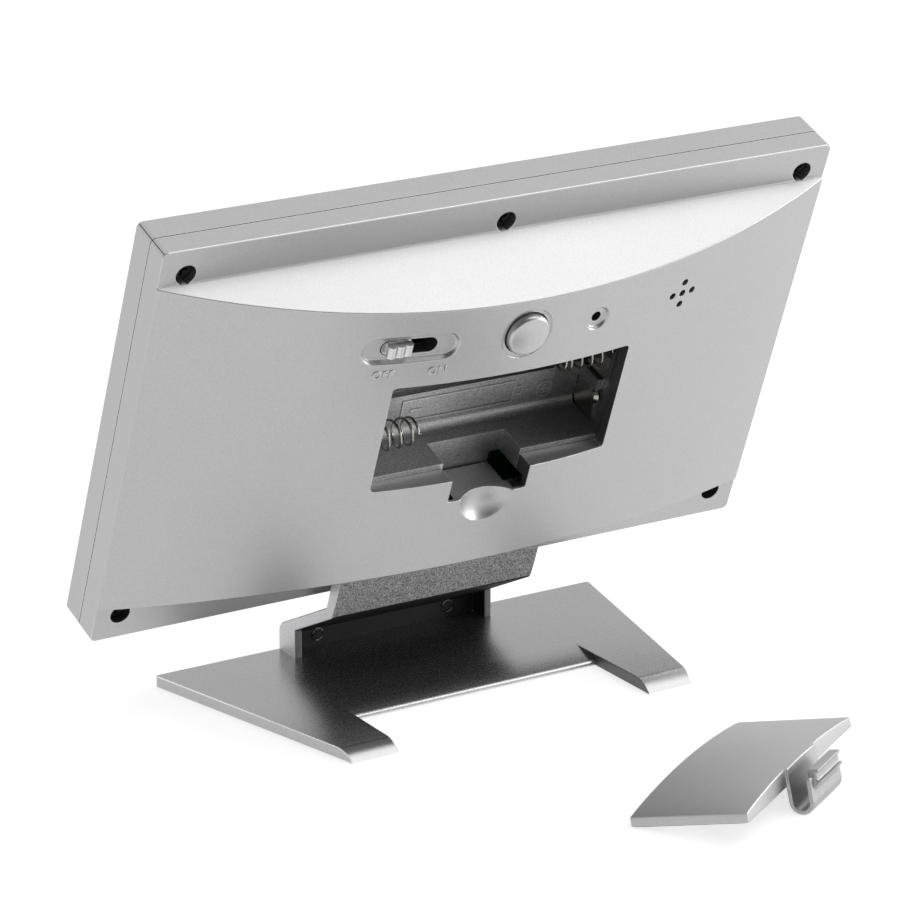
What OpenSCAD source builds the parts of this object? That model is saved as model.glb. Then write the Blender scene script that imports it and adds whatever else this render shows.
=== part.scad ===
// Desk clock with a leaning flat head, a bent neck and a forked base plate.
// The battery cover is off and lies beside the clock. Millimetres, +Z up.
// The display looks towards -Y. The origin is the middle of the base's underside.

/* [Head] */
// Width of the head
head_w = 145; // [140:1:160]
// Height of the head, measured along its leaning back
head_h = 88.6; // [86:0.1:96]
// Lean of the head from upright, in degrees
head_tilt = 21.15; // [15:0.05:25]
// Distance of the head's lower rear edge from the base's middle
head_y = -10.5; // [-13:0.1:-8]
// Height of the head's lower rear edge above the desk
head_z = 19; // [18:0.1:24]
// Depth of the front shell
front_d = 5.4; // [5:0.1:8]
// Depth of the rear cover's flat rim
rim_d = 4.9; // [4.5:0.1:7]
// Wall of both shells
wall = 1.8; // [1.5:0.1:2]
// Corner radius of the head's outline
corner_r = 1.2; // [0.5:0.1:3]
// Open seam between the two shells
seam = 0.2; // [0.1:0.05:0.4]

/* [Bulge] */
// Height of the rear bulge in the middle
bulge_h = 13.9; // [13.5:0.1:16]
// Height of the bulge at the head's sides
bulge_side_h = 0.3; // [0.2:0.1:1]
// Height of the flat strip above the bulge
top_strip = 7.4; // [7:0.1:8.5]
// Height of the flat strip below the bulge
bottom_strip = 7.6; // [6:0.1:8]
// Angle of the facets that end the bulge, from its normal
facet_a = 24; // [20:0.5:27]

/* [Case screws] */
// Distance of the case screws from the head's edges
screw_inset = 5.5; // [5.3:0.1:6]
// Thread diameter of the case screws
screw_d = 2; // [1.6:0.1:2.2]
// Head diameter of the case screws
screw_head_d = 3.6; // [3.2:0.1:3.7]
// Diameter of the counterbores over the case screws
counterbore_d = 4; // [3.9:0.05:4.2]

/* [Battery bay] */
// Diameter of one AAA cell
cell_d = 10.5; // [10:0.1:10.5]
// Length of one AAA cell
cell_l = 44.5; // [43:0.1:44.5]
// Height of the bay's middle on the head
bay_v = 46.6; // [45.5:0.1:47.5]
// Room for the contacts and springs beside the cells
contact_room = 7.3; // [6:0.1:8]
// Room above and below the pair of cells
cell_room = 3; // [2.4:0.1:3.2]
// Distance between the axes of the two cells
cell_pitch = 11.2; // [10.8:0.1:11.4]
// Height of the pair of cells over the bay's middle
cell_rise = 0.6; // [0:0.1:0.8]
// Level of the bay's floor, measured from the rim plane
bay_floor_w = -0.9; // [-1.2:0.1:-0.6]
// Level of the lip under the cover's opening
lip_w = 9.6; // [9.2:0.1:9.8]
// Wall of the battery tray
tray_wall = 1.4; // [1:0.1:1.5]
// Width of the notch for the cover's clip
notch_w = 17.2; // [16:0.1:19]
// Depth of the notch below the opening
notch_h = 5; // [4.8:0.1:5.4]
// Diameter of the thumb scoop under the notch
scoop_d = 12; // [9:0.1:14]
// Depth of the thumb scoop
scoop_depth = 2.6; // [1:0.1:2.7]

/* [Contacts] */
// Thickness of the contact plates
contact_t = 0.5; // [0.3:0.05:0.6]
// Wire diameter of the cell springs
spring_wire = 0.5; // [0.4:0.05:0.6]
// Outer diameter of a spring at its plate
spring_base_d = 6.4; // [5.5:0.1:7]
// Outer diameter of a spring at its free end
spring_tip_d = 5.6; // [4.5:0.1:6]
// Length of the lower cell's spring
lower_spring_l = 12.8; // [11:0.1:14]
// Length of the upper cell's spring
upper_spring_l = 11.2; // [10.5:0.1:14]
// Number of turns of a spring
spring_turns = 5; // [4:1:6]

/* [Battery cover] */
// Gap round the battery cover when it is fitted
door_gap = 0.5; // [0.2:0.05:0.8]
// Thickness of the battery cover
door_t = 1.9; // [1.5:0.1:2.2]
// Width of the clip on the cover
clip_w = 14; // [10:0.5:15]
// Depth of the clip's bend below the cover's crown
clip_drop = 9; // [8:0.1:9.4]
// Wall of the clip
clip_t = 0.9; // [0.7:0.05:1.1]
// Thickness of the flanges under the cover's long edges
flange_t = 1; // [0.8:0.1:1.4]
// Place of the loose cover beside the clock, X
door_x = -15.9; // [-40:0.5:40]
// Place of the loose cover beside the clock, Y
door_y = 73.9; // [65:0.5:120]
// Turn of the loose cover about the vertical, in degrees
door_turn = 32.3; // [0:0.5:60]

/* [Rear controls] */
// Height of the row of controls on the head
control_v = 67.4; // [67:0.1:68]
// Diameter of the light button
button_d = 8.7; // [8:0.1:9.5]
// Height of the light button above the surface
button_proud = 1.4; // [0.8:0.1:2]
// Travel of the light button
button_travel = 0.6; // [0.3:0.1:0.8]
// Place of the alarm switch
switch_x = 24.1; // [22:0.1:25]
// Length of the alarm switch's dish
switch_dish_l = 20; // [18:0.1:21]
// Height of the alarm switch's dish
switch_dish_h = 6.1; // [5.5:0.1:7]
// Length of the slot in that dish
switch_slot_l = 11.3; // [10.5:0.1:12]
// Height of the slot in that dish
switch_slot_h = 3.2; // [2.8:0.1:3.6]
// Depth of that dish
switch_dish_depth = 1; // [0.6:0.1:1.2]
// Width of the switch's three ribs together
knob_w = 5.3; // [4.5:0.1:5.6]
// Place of the reset hole
reset_x = -16; // [-18:0.1:-14]
// Diameter of the reset hole
reset_hole_d = 2; // [1.8:0.1:2.4]
// Diameter of the dish round the reset hole
reset_dish_d = 5; // [4:0.1:6]
// Travel of the reset plunger
reset_travel = 0.3; // [0.2:0.05:0.4]
// Place of the sound holes
sound_x = -36.8; // [-38:0.1:-36]
// Diameter of one sound hole
sound_hole_d = 1.4; // [1:0.1:1.8]
// Distance between the sound holes
sound_pitch = 2.5; // [2:0.1:3]

/* [Front] */
// Width of the window in the front shell
window_w = 111; // [100:1:112]
// Height of the window in the front shell
window_h = 52.7; // [46:0.1:53]
// Height of the window's middle on the head
window_v = 50.9; // [50.5:0.1:51.5]
// Thickness of the clear window
lens_t = 1.2; // [1:0.1:1.3]
// Overlap of the clear window on the front shell
lens_lap = 4; // [2:0.1:5]
// Thickness of the display glass
glass_t = 2.1; // [1.8:0.1:2.4]
// Height of the row of setting keys
key_v = 12; // [11.5:0.1:12.5]
// Length of one setting key
key_l = 12; // [10:0.1:14]
// Height of one setting key
key_h = 5; // [4:0.1:5.5]
// Distance between the setting keys
key_pitch = 24; // [20:0.5:28]
// Travel of the setting keys
key_travel = 0.8; // [0.4:0.1:0.9]

/* [Neck] */
// Width of the neck
neck_w = 45.2; // [40:0.2:48]
// Distance from the head's rear plane to the neck's upper leaf
leaf_w = 2.45; // [2.2:0.05:3]
// Thickness of the upper leaf
leaf_t = 2.85; // [2.4:0.05:3.2]
// Height of the tongue that goes up inside the head
tongue_v = 22; // [20:0.5:24]
// Thickness of the sloping slab
slab_t = 2.4; // [2:0.1:3]
// Slope of the slab, in degrees
slab_a = 26; // [22:0.5:30]
// Depth of the neck's foot
foot_d = 6.3; // [6:0.1:8]
// Height of the foot's front face
foot_h = 5.4; // [4.8:0.1:6]
// Thickness of the foot's front wall
foot_front_t = 2; // [1.6:0.1:2.2]
// Thickness of the foot's side walls
foot_side_t = 1.6; // [1.4:0.1:2]

/* [Base] */
// Depth of the base plate from its front edge to the leg tips
base_d = 54.3; // [50:0.1:60]
// Width of the base plate at its front edge
base_front_w = 100.4; // [90:0.2:120]
// Width of the base plate over its leg tips
base_tip_w = 76.2; // [74:0.2:88]
// Width of the space between the legs
leg_gap = 56.2; // [50:0.2:57]
// Thickness of the base plate
base_t = 2.2; // [2:0.1:3]
// Length of the rounded end of each leg
leg_end = 4.5; // [4:0.1:7]
// Distance from the front edge to the slope between the legs
slope_start = 28.9; // [26:0.1:32]
// Distance from the front edge to the plate's rear edge
plate_d = 35.7; // [34:0.1:38]
// Corner radius at the front of the base plate
base_r = 0.7; // [0.5:0.1:4]
// Amount that the soft pads stand out of the underside
pad_proud = 0.2; // [0.1:0.05:0.25]

/* [Hidden] */

$fn = 64;
big = 1;
fit = 0.15;
part_gap = 0.3;
half_w = head_w / 2;
front_w = -rim_d - front_d;
front_in_w = front_w + wall;
bulge_s = bulge_h - bulge_side_h;
bulge_r = (half_w * half_w + bulge_s * bulge_s) / (2 * bulge_s);
silver = "#b8b9bc";
dark = "#5a5b5e";

// Height of the bulge's surface over the rim plane at a place across the head
function bulge_at(x) = bulge_h - bulge_r + sqrt(bulge_r * bulge_r - x * x);
// Points of an arc, from one angle to another
function arc(cx, cy, r, a0, a1, n = 8) =
    [for (i = [0:n]) let(a = a0 + (a1 - a0) * i / n) [cx + r * cos(a), cy + r * sin(a)]];

// Head frame: X across, Y out of the back, Z up the back, from the lower rear edge
module in_head() { translate([0, head_y, head_z]) rotate([-head_tilt, 0, 0]) children(); }
module box(x0, x1, w0, w1, v0, v1) { translate([x0, w0, v0]) cube([x1 - x0, w1 - w0, v1 - v0]); }
module rod(x, v, w0, w1, d) { translate([x, w0, v]) rotate([-90, 0, 0]) cylinder(d = d, h = w1 - w0); }
module rounded(sx, sy, r) {
    square([sx - 2 * r, sy], center = true);
    square([sx, sy - 2 * r], center = true);
    for (i = [-1, 1], j = [-1, 1]) translate([i * (sx / 2 - r), j * (sy / 2 - r)]) circle(r = r);
}
module pad(x, v, sx, sv, r, w0, w1) {
    translate([x, w1, v]) rotate([90, 0, 0]) linear_extrude(w1 - w0) rounded(sx, sv, r);
}
module along_x(x0, x1) { translate([x0, 0, 0]) rotate([90, 0, 90]) linear_extrude(x1 - x0) children(); }
module screw(x, v, w_seat, length, d, head_d, head_t, side = 1) {
    rod(x, v, min(w_seat, w_seat - side * length), max(w_seat, w_seat - side * length), d);
    difference() {
        rod(x, v, min(w_seat, w_seat + side * head_t), max(w_seat, w_seat + side * head_t), head_d);
        for (a = [0, 90]) translate([x, w_seat + side * head_t, v]) rotate([0, a, 0])
            cube([head_d * 0.7, head_t, head_d * 0.18], center = true);
    }
}

// Places that the two shells share
screw_x = half_w - screw_inset;
screw_top = head_h - screw_inset;
case_points = [[-screw_x, screw_top], [0, screw_top], [screw_x, screw_top],
    [-screw_x, screw_inset], [screw_x, screw_inset]];
screw_floor_w = -rim_d + 1.6;
screw_head_t = 1.5;
case_screw_l = 4.8;
boss_d = 5.4;

// Bay outline
bay_w = cell_l + contact_room;
bay_h = 2 * cell_d + cell_room;
bay_lo = bay_v - bay_h / 2;
bay_hi = bay_v + bay_h / 2;
notch_lo = bay_lo - notch_h;
bay_r = 0.8;
skirt_t = 1.4;
tray_side = bay_w / 2 + 1.2;
tray_lo = bay_lo + 1.2;
tray_hi = bay_hi + 0.4;
pocket_lo = notch_lo + 1.4;
pocket_floor_w = 3.4;
floor_pad_t = 0.6;
cell_w = bay_floor_w + floor_pad_t + cell_d / 2 + 0.15;
lower_cell_v = bay_v + cell_rise - cell_pitch / 2;
upper_cell_v = bay_v + cell_rise + cell_pitch / 2;

module opening(grow, w0, w1) {
    pad(0, bay_v, bay_w + 2 * grow, bay_h + 2 * grow, bay_r + grow, w0, w1);
}
module notch(grow, w0, w1) {
    box(-notch_w / 2 - grow, notch_w / 2 + grow, w0, w1, notch_lo - grow, bay_v);
}

// Front shell
lens_w = window_w + 2 * lens_lap;
lens_h = window_h + 2 * lens_lap;
post_d = 3.6;
glass_w = window_w + 4.2;
glass_h = window_h + 4;
glass_back_w = front_in_w + glass_t;
frame_w = glass_w + 2.2;
frame_h = glass_h + 2;
board_front_w = front_in_w + 4.1;
board_t = 1.2;
board_back_w = board_front_w + board_t;
post_x = frame_w / 2 + 0.3 + post_d / 2;
board_lo = key_v - 5;
board_hi = window_v + frame_h / 2 - 1;
post_lo = board_lo + 2.5;
post_hi = board_hi - 2.5;
board_post_points = [[-post_x, post_lo], [post_x, post_lo], [-post_x, post_hi], [post_x, post_hi]];
board_screw_d = 1.6;
key_places = [-1.5 * key_pitch, -0.5 * key_pitch, 0.5 * key_pitch, 1.5 * key_pitch];

module front_bezel() {
    color(silver) in_head() difference() {
        union() {
            difference() {
                pad(0, head_h / 2, head_w, head_h, corner_r, front_w, -rim_d);
                pad(0, head_h / 2, head_w - 2 * wall, head_h - 2 * wall, corner_r / 2,
                    front_in_w, -rim_d + big);
            }
            for (p = case_points) rod(p[0], p[1], front_in_w - 0.1, -rim_d, boss_d);
            for (p = board_post_points) rod(p[0], p[1], front_in_w - 0.1, board_front_w, post_d);
        }
        pad(0, window_v, lens_w + 2 * fit, lens_h + 2 * fit, 2 + fit, front_w - big, front_w + lens_t);
        pad(0, window_v, window_w, window_h, 1, front_w - big, front_in_w + big);
        for (p = case_points) rod(p[0], p[1], front_in_w, -rim_d + big, screw_d + 0.04);
        for (p = board_post_points)
            rod(p[0], p[1], front_in_w, board_front_w + big, board_screw_d + 0.04);
        for (x = key_places)
            pad(x, key_v, key_l + 2 * fit, key_h + 2 * fit, key_h / 2 + fit - 0.01,
                front_w - big, front_in_w + big);
    }
}

module display_window() {
    color("#20242a", 0.6) in_head() pad(0, window_v, lens_w, lens_h, 2, front_w, front_w + lens_t);
}

module lcd_glass() {
    color("#9aa590") in_head() pad(0, window_v, glass_w, glass_h, 0.5, front_in_w, glass_back_w);
}

module lcd_frame() {
    color("#1d1d1f") in_head() difference() {
        pad(0, window_v, frame_w, frame_h, 1, front_in_w, min(board_front_w, -rim_d) - part_gap);
        pad(0, window_v, glass_w + 0.2, glass_h + 0.2, 0.5, front_in_w - big, board_front_w + big);
        for (p = case_points) rod(p[0], p[1], front_in_w - big, board_front_w + big, boss_d + 2 * part_gap);
    }
}

strip_h = 1.8;
strip_v = window_v - glass_h / 2 + 0.4 + strip_h / 2;
panel_lo = strip_v + strip_h / 2 + 0.5;
panel_w = glass_w - 6;
module backlight_panel() {
    color("#eef2f4") in_head() box(-panel_w / 2, panel_w / 2, glass_back_w, board_front_w - 0.2,
        panel_lo, window_v + glass_h / 2 - 0.4);
}

lamp_w = 1.8;
lamp_h = 3.5;
lamp_d = 1.4;
module backlight_lamps() {
    color("#f2e6a0") in_head() for (i = [-1, 1])
        translate([i * (panel_w / 2 + part_gap + lamp_w / 2), board_front_w - lamp_d / 2, window_v])
            cube([lamp_w, lamp_d, lamp_h], center = true);
}

strip_inset = 4;
module contact_strip() {
    color("#d8889a") in_head() box(-glass_w / 2 + strip_inset, glass_w / 2 - strip_inset,
        glass_back_w, board_front_w,
        strip_v - strip_h / 2, strip_v + strip_h / 2);
}

module main_board() {
    color("#2e6b3e") in_head() difference() {
        box(-post_x - 2, post_x + 2, board_front_w, board_back_w, board_lo, board_hi);
        for (p = board_post_points) rod(p[0], p[1], board_front_w - big, board_back_w + big, 2);
    }
}

chip_x = tray_side + 17;
chip_r = 12.4;
chip_sink = 11;
module chip_blob() {
    color("#17181a") in_head() translate([chip_x, board_back_w, bay_v]) rotate([-90, 0, 0])
        rotate_extrude()
            polygon(concat([[0, 0]], arc(0, -chip_sink, chip_r, asin(chip_sink / chip_r), 90)));
}

crystal_d = 2;
module quartz_crystal() {
    color("#c9cbd0") in_head() {
        translate([chip_x - 3, board_back_w + crystal_d / 2, bay_lo - 4]) rotate([0, 90, 0])
            cylinder(d = crystal_d, h = 6);
    }
}

// Setting keys, each on its dome of the soft mat
key_out = 0.7;
key_flange_t = 0.8;
key_back_w = front_in_w + fit + key_flange_t;
dome_top_w = key_back_w + key_travel + 0.1;
mat_end = 8;
mat_h = 8;
mat_t = 0.9;
dome_d = 4.4;
module key_mat() {
    color("#8f9499") in_head() {
        box(key_places[0] - mat_end, key_places[3] + mat_end, board_front_w - mat_t, board_front_w,
            key_v - mat_h / 2, key_v + mat_h / 2);
        for (x = key_places) rod(x, key_v, dome_top_w, board_front_w - mat_t + 0.1, dome_d);
    }
}
module setting_key(i) {
    color(silver) in_head() {
        pad(key_places[i], key_v, key_l, key_h, key_h / 2 - 0.01, front_w - key_out, key_back_w);
        pad(key_places[i], key_v, key_l + 2.4, key_h + 2.4, 2, front_in_w + fit, key_back_w);
    }
}
module mode_key() { setting_key(3); }
module set_key() { setting_key(2); }
module plus_key() { setting_key(1); }
module minus_key() { setting_key(0); }

// Rear cover: rim, bulge cut off by two facets, skirt round the bay, posts and dishes
module bulge_segment(r, half) {
    intersection() {
        translate([0, bulge_h - bulge_r]) circle(r = r, $fn = 256);
        translate([-half, -rim_d]) square([2 * half, rim_d + bulge_h + 1]);
    }
}
module facet_prism(inset, half) {
    shift = inset / cos(facet_a);
    lo = bottom_strip + shift;
    hi = head_h - top_strip - shift;
    t = tan(facet_a);
    far = bulge_h + 1;
    along_x(-half, half) polygon([[0, lo], [far, lo + far * t], [far, hi - far * t], [0, hi],
        [-wall - 0.2, hi], [-wall - 0.2, lo]]);
}
module bulge(inset) {
    intersection() {
        linear_extrude(head_h) bulge_segment(bulge_r - inset, half_w - inset);
        facet_prism(inset, half_w - inset);
    }
}
module cover_outer() {
    pad(0, head_h / 2, head_w, head_h, corner_r, -rim_d + seam, 0);
    bulge(0);
}
module cover_cavity() {
    pad(0, head_h / 2, head_w - 2 * wall, head_h - 2 * wall, corner_r / 2, -rim_d - big, -wall);
    bulge(wall);
}

lip_t = 0.7;
module cover_lip() {
    out_w = head_w - 2 * wall - 0.2;
    out_h = head_h - 2 * wall - 0.2;
    difference() {
        pad(0, head_h / 2, out_w, out_h, corner_r / 2, -rim_d - 1.1, -wall);
        pad(0, head_h / 2, out_w - 2 * lip_t, out_h - 2 * lip_t, 0.3, -rim_d - 2, 0);
    }
}

// Control board and what it carries
ctrl_front_w = 3.4;
ctrl_back_w = ctrl_front_w + board_t;
ctrl_x0 = reset_x - 6.3;
ctrl_x1 = switch_x + 13;
ctrl_v0 = tray_hi + tray_wall + 0.6;
ctrl_v1 = control_v + 7;
ctrl_posts = [[ctrl_x0 + 2.6, ctrl_v1 - 2.6], [ctrl_x1 - 2.6, ctrl_v1 - 2.6]];

slot_pad_w = 8.6;
pad_side = 2;
button_top_w = bulge_at(0) + button_proud;
button_hole_d = button_d + 0.4;
button_dish_d = button_d + 2;
button_flange_w = bulge_at(button_dish_d / 2) - wall - fit;
reset_surface_w = bulge_at(reset_x);
neck_boss_x = 15;
neck_boss_v = tongue_v - 4.5;
leaf_back_w = leaf_w + leaf_t;
sounder_d = 15;
ring_w = bulge_at(abs(sound_x) + sounder_d / 2) - wall - 0.5;
ring_in_d = sounder_d - 1.4;
ring_out_d = sounder_d + 2;

module cover_inner_parts() {
    for (p = case_points) rod(p[0], p[1], -rim_d + seam, 0, counterbore_d + 2 * pad_side - 1.6);
    difference() {
        opening(skirt_t, lip_w, bulge_h);
        opening(0, lip_w - big, bulge_h + big);
    }
    box(-notch_w / 2 - skirt_t, notch_w / 2 + skirt_t, lip_w, bulge_h, pocket_lo, bay_lo);
    box(-notch_w / 2 + right_slit, notch_w / 2 - left_slit, pocket_floor_w + part_gap, bulge_h,
        notch_lo - catch_deep - skirt_t, notch_lo);
    rod(0, notch_lo, bulge_h - wall - scoop_depth, bulge_h, scoop_d - 1);
    pad(switch_x, control_v, switch_dish_l, switch_dish_h + pad_side, 2, slot_pad_w, bulge_h);
    difference() {
        rod(sound_x, control_v, ring_w, bulge_h, ring_out_d);
        rod(sound_x, control_v, ring_w - big, bulge_at(sound_x) - wall, ring_in_d);
    }
    for (p = ctrl_posts) rod(p[0], p[1], ctrl_back_w, bulge_h, 4);
    rod(reset_x, control_v, reset_body_w + reset_flange + 0.2, bulge_h, 4.4);
    for (i = [-1, 1]) rod(i * neck_boss_x, neck_boss_v, leaf_back_w, bulge_h, 5);
}

// Flat dish with sloping sides, square to the bulge's surface
module flat_dish(x, v, length, height, depth, slope) {
    low = height / 2 - slope;
    high = height / 2 + slope / 2;
    half = (length - height) / 2;
    translate([x, bulge_at(x), v]) rotate([0, 0, -asin(x / bulge_r)]) {
        for (i = [-1, 1]) translate([i * half, -depth, 0]) rotate([-90, 0, 0])
            cylinder(r1 = low, r2 = high, h = depth * 1.5);
        if (half > 0) along_x(-half, half)
            polygon([[-depth, -low], [depth / 2, -high], [depth / 2, high], [-depth, low]]);
    }
}
module round_dish(x, v, d, depth, surface_w) {
    r = (d * d / 4 + depth * depth) / (2 * depth);
    translate([x, surface_w - depth + r, v]) sphere(r = r, $fn = 96);
}

right_slit = 2.3;
left_slit = 1.7;
catch_w = 11;
catch_deep = 0.8;
thin_skin = 0.7;
catch_top_w = bulge_h - wall - 1.5;
tab_x = 14;
tab_w = 5;
tab_t = 1.3;
tab_out = 1.2;
tab_drop = 3;
module rear_cover() {
    color(silver) in_head() difference() {
        union() {
            difference() {
                cover_outer();
                cover_cavity();
            }
            cover_lip();
            intersection() {
                cover_outer();
                cover_inner_parts();
            }
        }
        opening(0, lip_w - big, bulge_h + big);
        notch(0, lip_w - big, bulge_h + big);
        box(-notch_w / 2, notch_w / 2, 0, bulge_h + big, notch_lo, bay_v);
        round_dish(0, notch_lo, scoop_d, scoop_depth, bulge_h);
        box(-notch_w / 2, notch_w / 2, 0, catch_top_w + 0.2, notch_lo - catch_deep, notch_lo + big);
        for (x = [[-notch_w / 2, right_slit], [notch_w / 2 - left_slit, left_slit]])
            box(x[0], x[0] + x[1], 0, bulge_at(notch_w / 2) - thin_skin,
                notch_lo - catch_deep - skirt_t, notch_lo + big);
        for (i = [-1, 1]) box(i * tab_x - tab_w / 2 - 0.3, i * tab_x + tab_w / 2 + 0.3,
            bulge_h - tab_drop - 0.2, bulge_h - tab_drop + tab_t + 0.2,
            bay_hi - big, bay_hi - door_gap + tab_out + 0.4);
        for (p = case_points) {
            rod(p[0], p[1], screw_floor_w, bulge_h, counterbore_d);
            rod(p[0], p[1], -rim_d - big, 0, screw_d + 0.3);
        }
        rod(0, control_v, 0, bulge_h + big, button_hole_d);
        rod(0, control_v, bulge_h - 0.4, bulge_h + big, button_dish_d);
        flat_dish(switch_x, control_v, switch_dish_l, switch_dish_h, switch_dish_depth, 0.7);
        pad(switch_x, control_v, switch_slot_l, switch_slot_h, switch_slot_h / 2 - 0.01, 0, bulge_h);
        flat_dish(reset_x, control_v, reset_dish_d, reset_dish_d, 0.7, 0.4);
        rod(reset_x, control_v, 0, bulge_h, reset_hole_d);
        for (p = [[0, 0], [1, 0], [-1, 0], [0, 1], [0, -1]])
            rod(sound_x + p[0] * sound_pitch, control_v + p[1] * sound_pitch, 0, bulge_h,
                sound_hole_d);
        for (p = ctrl_posts) rod(p[0], p[1], ctrl_back_w - big, ctrl_back_w + 3, board_screw_d + 0.04);
        for (i = [-1, 1]) rod(i * neck_boss_x, neck_boss_v, leaf_back_w - big, leaf_back_w + 4.6,
            screw_d + 0.04);
        box(-neck_w / 2 - fit, neck_w / 2 + fit, leaf_w - fit, leaf_back_w + fit,
            0, bottom_strip + leaf_back_w + 4);
    }
}

// Tray behind the opening, with its guides and its pocket for the clip
rib_v = bay_v - 2.4;
rib_out = 1.2;
tab_slot = 3.4;
step_v = bay_v - 1.2;
step_d = 1;
cradle_x = 12;
fillet_r = 2;
module battery_tray() {
    color(dark) in_head() difference() {
        union() {
            difference() {
                union() {
                    box(-tray_side - tray_wall, tray_side + tray_wall, bay_floor_w - tray_wall, lip_w,
                        tray_lo - tray_wall, tray_hi + tray_wall);
                    box(-notch_w / 2 - tray_wall, notch_w / 2 + tray_wall,
                        pocket_floor_w - tray_wall, lip_w, pocket_lo, tray_lo);
                    box(-tray_side - tray_wall, tray_side + tray_wall, bay_floor_w - tray_wall - 0.6,
                        lip_w, step_v - tray_wall, tray_hi + tray_wall);
                }
                box(-tray_side, tray_side, bay_floor_w, lip_w + big, tray_lo, tray_hi);
                box(-tray_side, tray_side, bay_floor_w - step_d, lip_w + big, step_v, tray_hi);
                box(-notch_w / 2, notch_w / 2, pocket_floor_w, lip_w + big,
                    pocket_lo - big, bay_v);
            }
            box(-tray_side + 7, tray_side - 7, bay_floor_w - 0.1, bay_floor_w + floor_pad_t,
                tray_lo + 4, step_v);
            for (i = [-1, 1]) box(i * cradle_x - 0.6, i * cradle_x + 0.6, bay_floor_w - step_d - 0.1,
                bay_floor_w + floor_pad_t, upper_cell_v - 3, upper_cell_v + 3);
            along_x(-tray_side + contact_t + 0.3, tray_side - contact_t - 0.3)
                polygon(concat([[bay_floor_w - 0.1, tray_lo - 0.1], [bay_floor_w + fillet_r, tray_lo - 0.1]],
                arc(bay_floor_w + fillet_r, tray_lo + fillet_r, fillet_r, 270, 180),
                [[bay_floor_w - 0.1, tray_lo + fillet_r]]));
            box(-notch_w / 2 + right_slit, notch_w / 2 - left_slit, pocket_floor_w - tray_wall,
                pocket_floor_w, notch_lo - catch_deep - skirt_t, pocket_lo + 0.1);
            box(-tray_side - 0.1, -tray_side + rib_out, bay_floor_w, cell_w + 1, rib_v - 0.5, rib_v + 0.5);
            box(-tray_side + rib_out - 0.6, -tray_side + rib_out, bay_floor_w, cell_w + 1,
                rib_v - 0.9, rib_v + 1.7);
        }
        for (v = [lower_cell_v, upper_cell_v]) box(-tray_side - 0.1, -tray_side + contact_t + 0.1,
            bay_floor_w - tray_wall - big, bay_floor_w + 0.1,
            v - tab_slot / 2 - 0.1, v + tab_slot / 2 + 0.1);
    }
}

// Contacts: a link on one side, two plates with solder tabs on the other
module contact_plate(side, v0, v1, w1) {
    x = side * (tray_side - contact_t / 2);
    translate([x, (bay_floor_w + 0.1 + w1) / 2, (v0 + v1) / 2])
        cube([contact_t, w1 - bay_floor_w - 0.1, v1 - v0], center = true);
}
module contact_dimple(side, v) {
    translate([side * (tray_side - contact_t), cell_w, v]) rotate([0, -side * 90, 0])
        cylinder(r1 = 1.6, r2 = 1, h = 0.7);
}
module contact_tab(v) {
    box(-tray_side, -tray_side + contact_t, board_back_w, bay_floor_w + 0.2,
        v - tab_slot / 2, v + tab_slot / 2);
}
module link_contact() {
    color("#cfcfca") in_head() {
        contact_plate(1, tray_lo + 0.3, tray_hi - 0.4, cell_w + 1.6);
        contact_dimple(1, upper_cell_v);
    }
}
module plus_contact() {
    color("#cfcfca") in_head() {
        contact_plate(-1, tray_lo + 0.3, rib_v - 0.7, cell_w + 0.4);
        contact_dimple(-1, lower_cell_v);
        contact_tab(lower_cell_v);
    }
}
module minus_contact() {
    color("#cfcfca") in_head() {
        contact_plate(-1, rib_v + 0.7, tray_hi - 0.4, cell_w + 2.2);
        contact_tab(upper_cell_v);
    }
}

// Wound springs: one tube along a tapering helix about X, its ends straight along X
// The turn at the free end is wound closer than the others
rings_per_turn = 8;
tube_sides = 6;
spring_rings = spring_turns * rings_per_turn;
end_pitch = 0.5;
function spring_r(t) = (spring_base_d * (1 - t) + spring_tip_d * t - spring_wire) / 2;
function spring_a(t) = 360 * spring_turns * t;
function spring_run(t) =
    let(s = spring_turns * t, open = spring_turns - 1)
    (s < open ? s : open + (s - open) * end_pitch) / (open + end_pitch);
function on_spring(x, t) = [x, spring_r(t) * cos(spring_a(t)), spring_r(t) * sin(spring_a(t))];
function spring_path(l) = concat([on_spring(0, 0)],
    [for (i = [0:spring_rings]) let(t = i / spring_rings)
        on_spring(spring_wire + (l - 2 * spring_wire) * spring_run(t), t)],
    [on_spring(l, 1)]);
function turn_at(i) = min(1, max(0, (i - 1) / spring_rings));
function unit(p) = p / norm(p);
function way(path, i) =
    unit(i == 0 ? path[1] - path[0]
        : i == len(path) - 1 ? path[i] - path[i - 1]
        : unit(path[i + 1] - path[i]) + unit(path[i] - path[i - 1]));
function ring(path, i) =
    let(out = [0, cos(spring_a(turn_at(i))), sin(spring_a(turn_at(i)))],
        along = way(path, i), u = unit(out - (out * along) * along), s = cross(along, u))
    [for (k = [0:tube_sides - 1]) let(a = 360 * k / tube_sides)
        path[i] + spring_wire / 2 * (cos(a) * u + sin(a) * s)];
module wound_spring(l) {
    path = spring_path(l);
    n = len(path);
    rings = [for (i = [0:n - 1]) each ring(path, i)];
    sides = [for (i = [0:n - 2], k = [0:tube_sides - 1])
        let(a = i * tube_sides + k, b = i * tube_sides + (k + 1) % tube_sides)
        each [[a, a + tube_sides, b], [b, a + tube_sides, b + tube_sides]]];
    first = [for (k = [1:tube_sides - 2]) [0, k, k + 1]];
    last = [for (k = [1:tube_sides - 2])
        [(n - 1) * tube_sides, (n - 1) * tube_sides + k + 1, (n - 1) * tube_sides + k]];
    polyhedron(points = rings, faces = concat(sides, first, last));
}
function least_gap(path) = min([for (i = [0:len(path) - 1], j = [0:len(path) - 1])
    if (j - i > rings_per_turn / 2) norm(path[i] - path[j])]) - spring_wire;
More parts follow.
